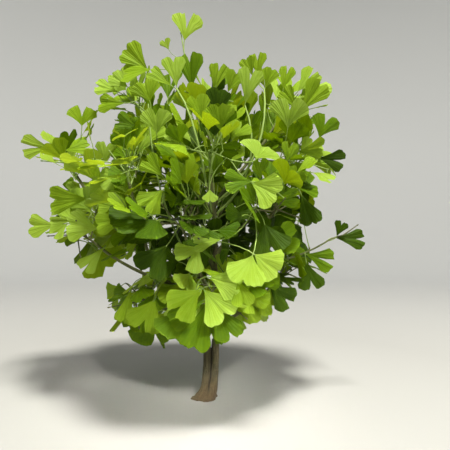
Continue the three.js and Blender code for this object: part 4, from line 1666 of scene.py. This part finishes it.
# Leaf tints from lightest to darkest. They differ partly as real leaves do, and partly as painted light
# and shade: lit leaves get the lighter tints, and the darkest stands for deep shade inside the crown
TINTS = {
    "lime": Tint(
        "upper_foliage", -0.35, (0.34, 0.495, 0.075), (0.23, 0.37, 0.026), (0.47, 0.6, 0.012), 0.38
    ),
    "fresh": Tint(
        "upper_foliage", 0.05, (0.25, 0.385, 0.02), (0.15, 0.26, 0.006), (0.38, 0.5, 0.004), 0.32
    ),
    "full": Tint(
        "lower_foliage", 0.5, (0.132, 0.235, 0.004), (0.067, 0.14, 0.002), (0.2, 0.32, 0.001), 0.3
    ),
    "deep": Tint(
        "lower_foliage", 9, (0.046, 0.094, 0.001), (0.024, 0.053, 0.001), (0.08, 0.15, 0.001), 0.24
    ),
}
TINT_SEED = 77
TINT_LEAN = 0.2  # how far the ripeness of a whole spray differs
TOP_AND_EDGE_LIGHTENING = 0.55  # how much lighter leaves are at the crown's top and edge: partly young leaves, partly painted light on outer leaves
# Painted shade in the crown's middle and on its right, and, below 0, painted light on the low front and on
# the left
PAINTED_SHADING = (
    PaintedShading((10, 285), (135, 58), 1.15),
    PaintedShading((175, 330), (55, 90), 0.45),
    PaintedShading((175, 215), (60, 40), 0.4),
    PaintedShading((20, 175), (110, 45), -0.75),
    PaintedShading((-190, 340), (75, 100), -0.5),
)


def deal_tints(groups):
    """Deals sprays of leaves out to tints: lighter ones to the top and the edge of the crown, partly as
    young leaves and partly as painted light, and darker or lighter ones round the places of painted shade
    and light.
    """
    dealt = {key: [] for key in TINTS}
    chance = Chance(TINT_SEED)
    for leaves in groups:
        lean = chance.between(-TINT_LEAN, TINT_LEAN)
        hearts = leaves.hearts()
        # Painted light: leaves at the crown's edge get lighter tints as if lit; at the top, lighter tints
        # also stand for young leaves
        darkening = -TOP_AND_EDGE_LIGHTENING * (risen(hearts[:, 2]) + np.minimum(crown_share(hearts), 1))
        for shade in PAINTED_SHADING:
            away = (hearts[:, [0, 2]] - shade.middle) / shade.spread
            darkening += shade.depth * np.exp(-np.sum(away**2, axis=1))
        for row in range(len(leaves.length)):
            # A random part, the spray's lean, and the painted light and shade above decide each leaf's
            # tint
            ripeness = chance.one() + lean + darkening[row]
            key = next(key for key, tint in TINTS.items() if ripeness < tint.ripeness)
            dealt[key].append(leaves.rows([row]))
    return dealt


# Floor, light and camera

FLOOR_RADIUS = 3.0
FLOOR_HUB = 0.001
COVE_RADIUS = 1.2
COVE_STEPS = 12
COVE_HEIGHT = 3.2
COVE_SIDES = 64
FLOOR_TONES = ((0.44, 0.44, 0.43), (0.86, 0.87, 0.88))
LAMPS = {
    "key light": Lamp((0.3, -0.9, 2.35), (0, 0, 0.35), 0.45, 118),
    "low key light": Lamp((0.5, -1.6, 1.05), (0.01, -0.1, 0.12), 0.25, 0.42, 14),
}
LAMP_COLOUR = (1, 0.97, 0.88)
SKY_COLOUR = (1, 1, 0.94, 1)
SKY_STRENGTH = 0.22
LENS = 36
SENSOR = 36
CAMERA_PITCH = math.radians(2.67)
CAMERA_SHIFT = (0.5, 0, 0)


def make_floor():
    """A pale round floor that curves up into a wall. It is darker near the tree, where the lamps light it
    most, and paler further out: painted shade and light that keep it evenly pale.
    """
    bends = np.linspace(0, math.pi / 2, COVE_STEPS)
    outer = FLOOR_RADIUS + COVE_RADIUS
    radii = np.array([FLOOR_HUB, *(FLOOR_RADIUS + COVE_RADIUS * np.sin(bends)), outer])[:, None]
    heights = np.array([0, *(COVE_RADIUS * (1 - np.cos(bends))), COVE_HEIGHT])[:, None]
    turns = turns_round(COVE_SIDES)
    shape = np.broadcast_arrays(radii * np.cos(turns), radii * np.sin(turns), heights)
    points, (*walls, _, disc) = lofted(np.stack(shape, axis=-1)[::-1])
    floor = mesh_object("floor", points / METRES, [*walls, disc])
    finish = Finish("pale floor")
    length = {"operation": "LENGTH"}
    away = finish.node("ShaderNodeVectorMath", length, {0: finish.place}, output=1)
    # Painted shade against the lamps' pool of light: darker near the middle, paler towards the wall
    paler = finish.rise(away * (1 / FLOOR_RADIUS), 0.2, 1)
    smooth_with(floor, finish.show(finish.skin(finish.blend(paler, *FLOOR_TONES), 0.9)))


def light_studio():
    for name, lamp in LAMPS.items():
        light = bpy.data.lights.new(name, "AREA")
        light.size = lamp.width
        light.spread = math.radians(lamp.beam)
        light.energy = lamp.power
        light.color = LAMP_COLOUR
        stand = bpy.data.objects.new(name, light)
        stand.location = lamp.place
        aim = Vector(lamp.target) - Vector(lamp.place)
        stand.rotation_euler = aim.to_track_quat("-Z", "Y").to_euler()
        bpy.context.collection.objects.link(stand)
    world = bpy.data.worlds.new("soft sky")
    world.use_nodes = True
    sky = world.node_tree.nodes["Background"]
    sky.inputs["Color"].default_value = SKY_COLOUR
    sky.inputs["Strength"].default_value = SKY_STRENGTH
    bpy.context.scene.world = world
    bpy.context.scene.view_settings.view_transform = "Standard"


def place_camera():
    """The viewer stands low, a little right of the trunk, and looks slightly up."""
    camera = bpy.data.objects.new("camera", bpy.data.cameras.new("camera"))
    camera.data.lens = LENS
    camera.data.sensor_width = SENSOR
    camera.location = (EYE + CAMERA_SHIFT) * METRES
    camera.rotation_euler = (math.pi / 2 + CAMERA_PITCH, 0, 0)
    bpy.context.collection.objects.link(camera)
    bpy.context.scene.camera = camera


# The tree

place_camera()
light_studio()
make_floor()

limbs = grow_limbs()
rods = joined(rods_of(limbs.values(), LIMB_RODS), rods_of(STUBS, STUB_RODS))
sprays = grow_sprays(limbs, rods)
shoots = rods_of(SHOOTS, SHOOT_STEPS)
shown = {key: grow_shown(sprays, rods, shoots, table) for key, table in SHOWN.items()}
all_shown = joined(*shown.values())
showing = Showing(all_shown, shoots)
make_way(sprays, showing)
open_leaves(sprays, showing)
spurs = grow_spurs(sprays, limbs, rods, showing)
leaf_groups = [grown.leaves for grown in (*sprays, *spurs)]
tubes = tube_tree()
foliage_nodes = [f"foliage_{mass.name}" for mass in MASSES]

wood = make_wood(limbs)
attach(wood, TREE_BODY)
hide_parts("trunk", *limbs)

brown = twig_finish("brown twig bark", BROWN_BARK)
green = twig_finish("green shoot bark", GREEN_BARK)
brown_paths = twig_paths(sprays, spurs, False)
green_paths = [twig_path(route) for route in SHOOTS] + twig_paths(sprays, spurs, True)
leaves = joined(all_shown, *leaf_groups)
low = risen(leaves.node[:, 2]) <= GREEN_TWIGS
low_paths = stalk_paths(leaves.rows(low))
high_paths = stalk_paths(leaves.rows(~low))
foliage = [
    (make_tubes("brown_twigs", brown_paths, TWIG_SIDES, tubes, brown), "bark"),
    (make_tubes("green_twigs", green_paths, TWIG_SIDES, tubes, green), "young_bark"),
    (make_tubes("low_stalks", low_paths, STALK_SIDES, tubes, stalk_finish()), "lower_foliage"),
    (make_tubes("high_stalks", high_paths, STALK_SIDES, tubes, stalk_finish()), "upper_foliage"),
]
for key, parts in deal_tints(leaf_groups).items():
    material = leaf_finish(f"leaves {key}", TINTS[key])
    blades = make_blades(f"leaves_{key}", joined(shown[key], *parts), material)
    foliage.append((blades, TINTS[key].slot))
for piece, slot in foliage:
    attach(piece, TREE_BODY)
    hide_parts(*foliage_nodes)
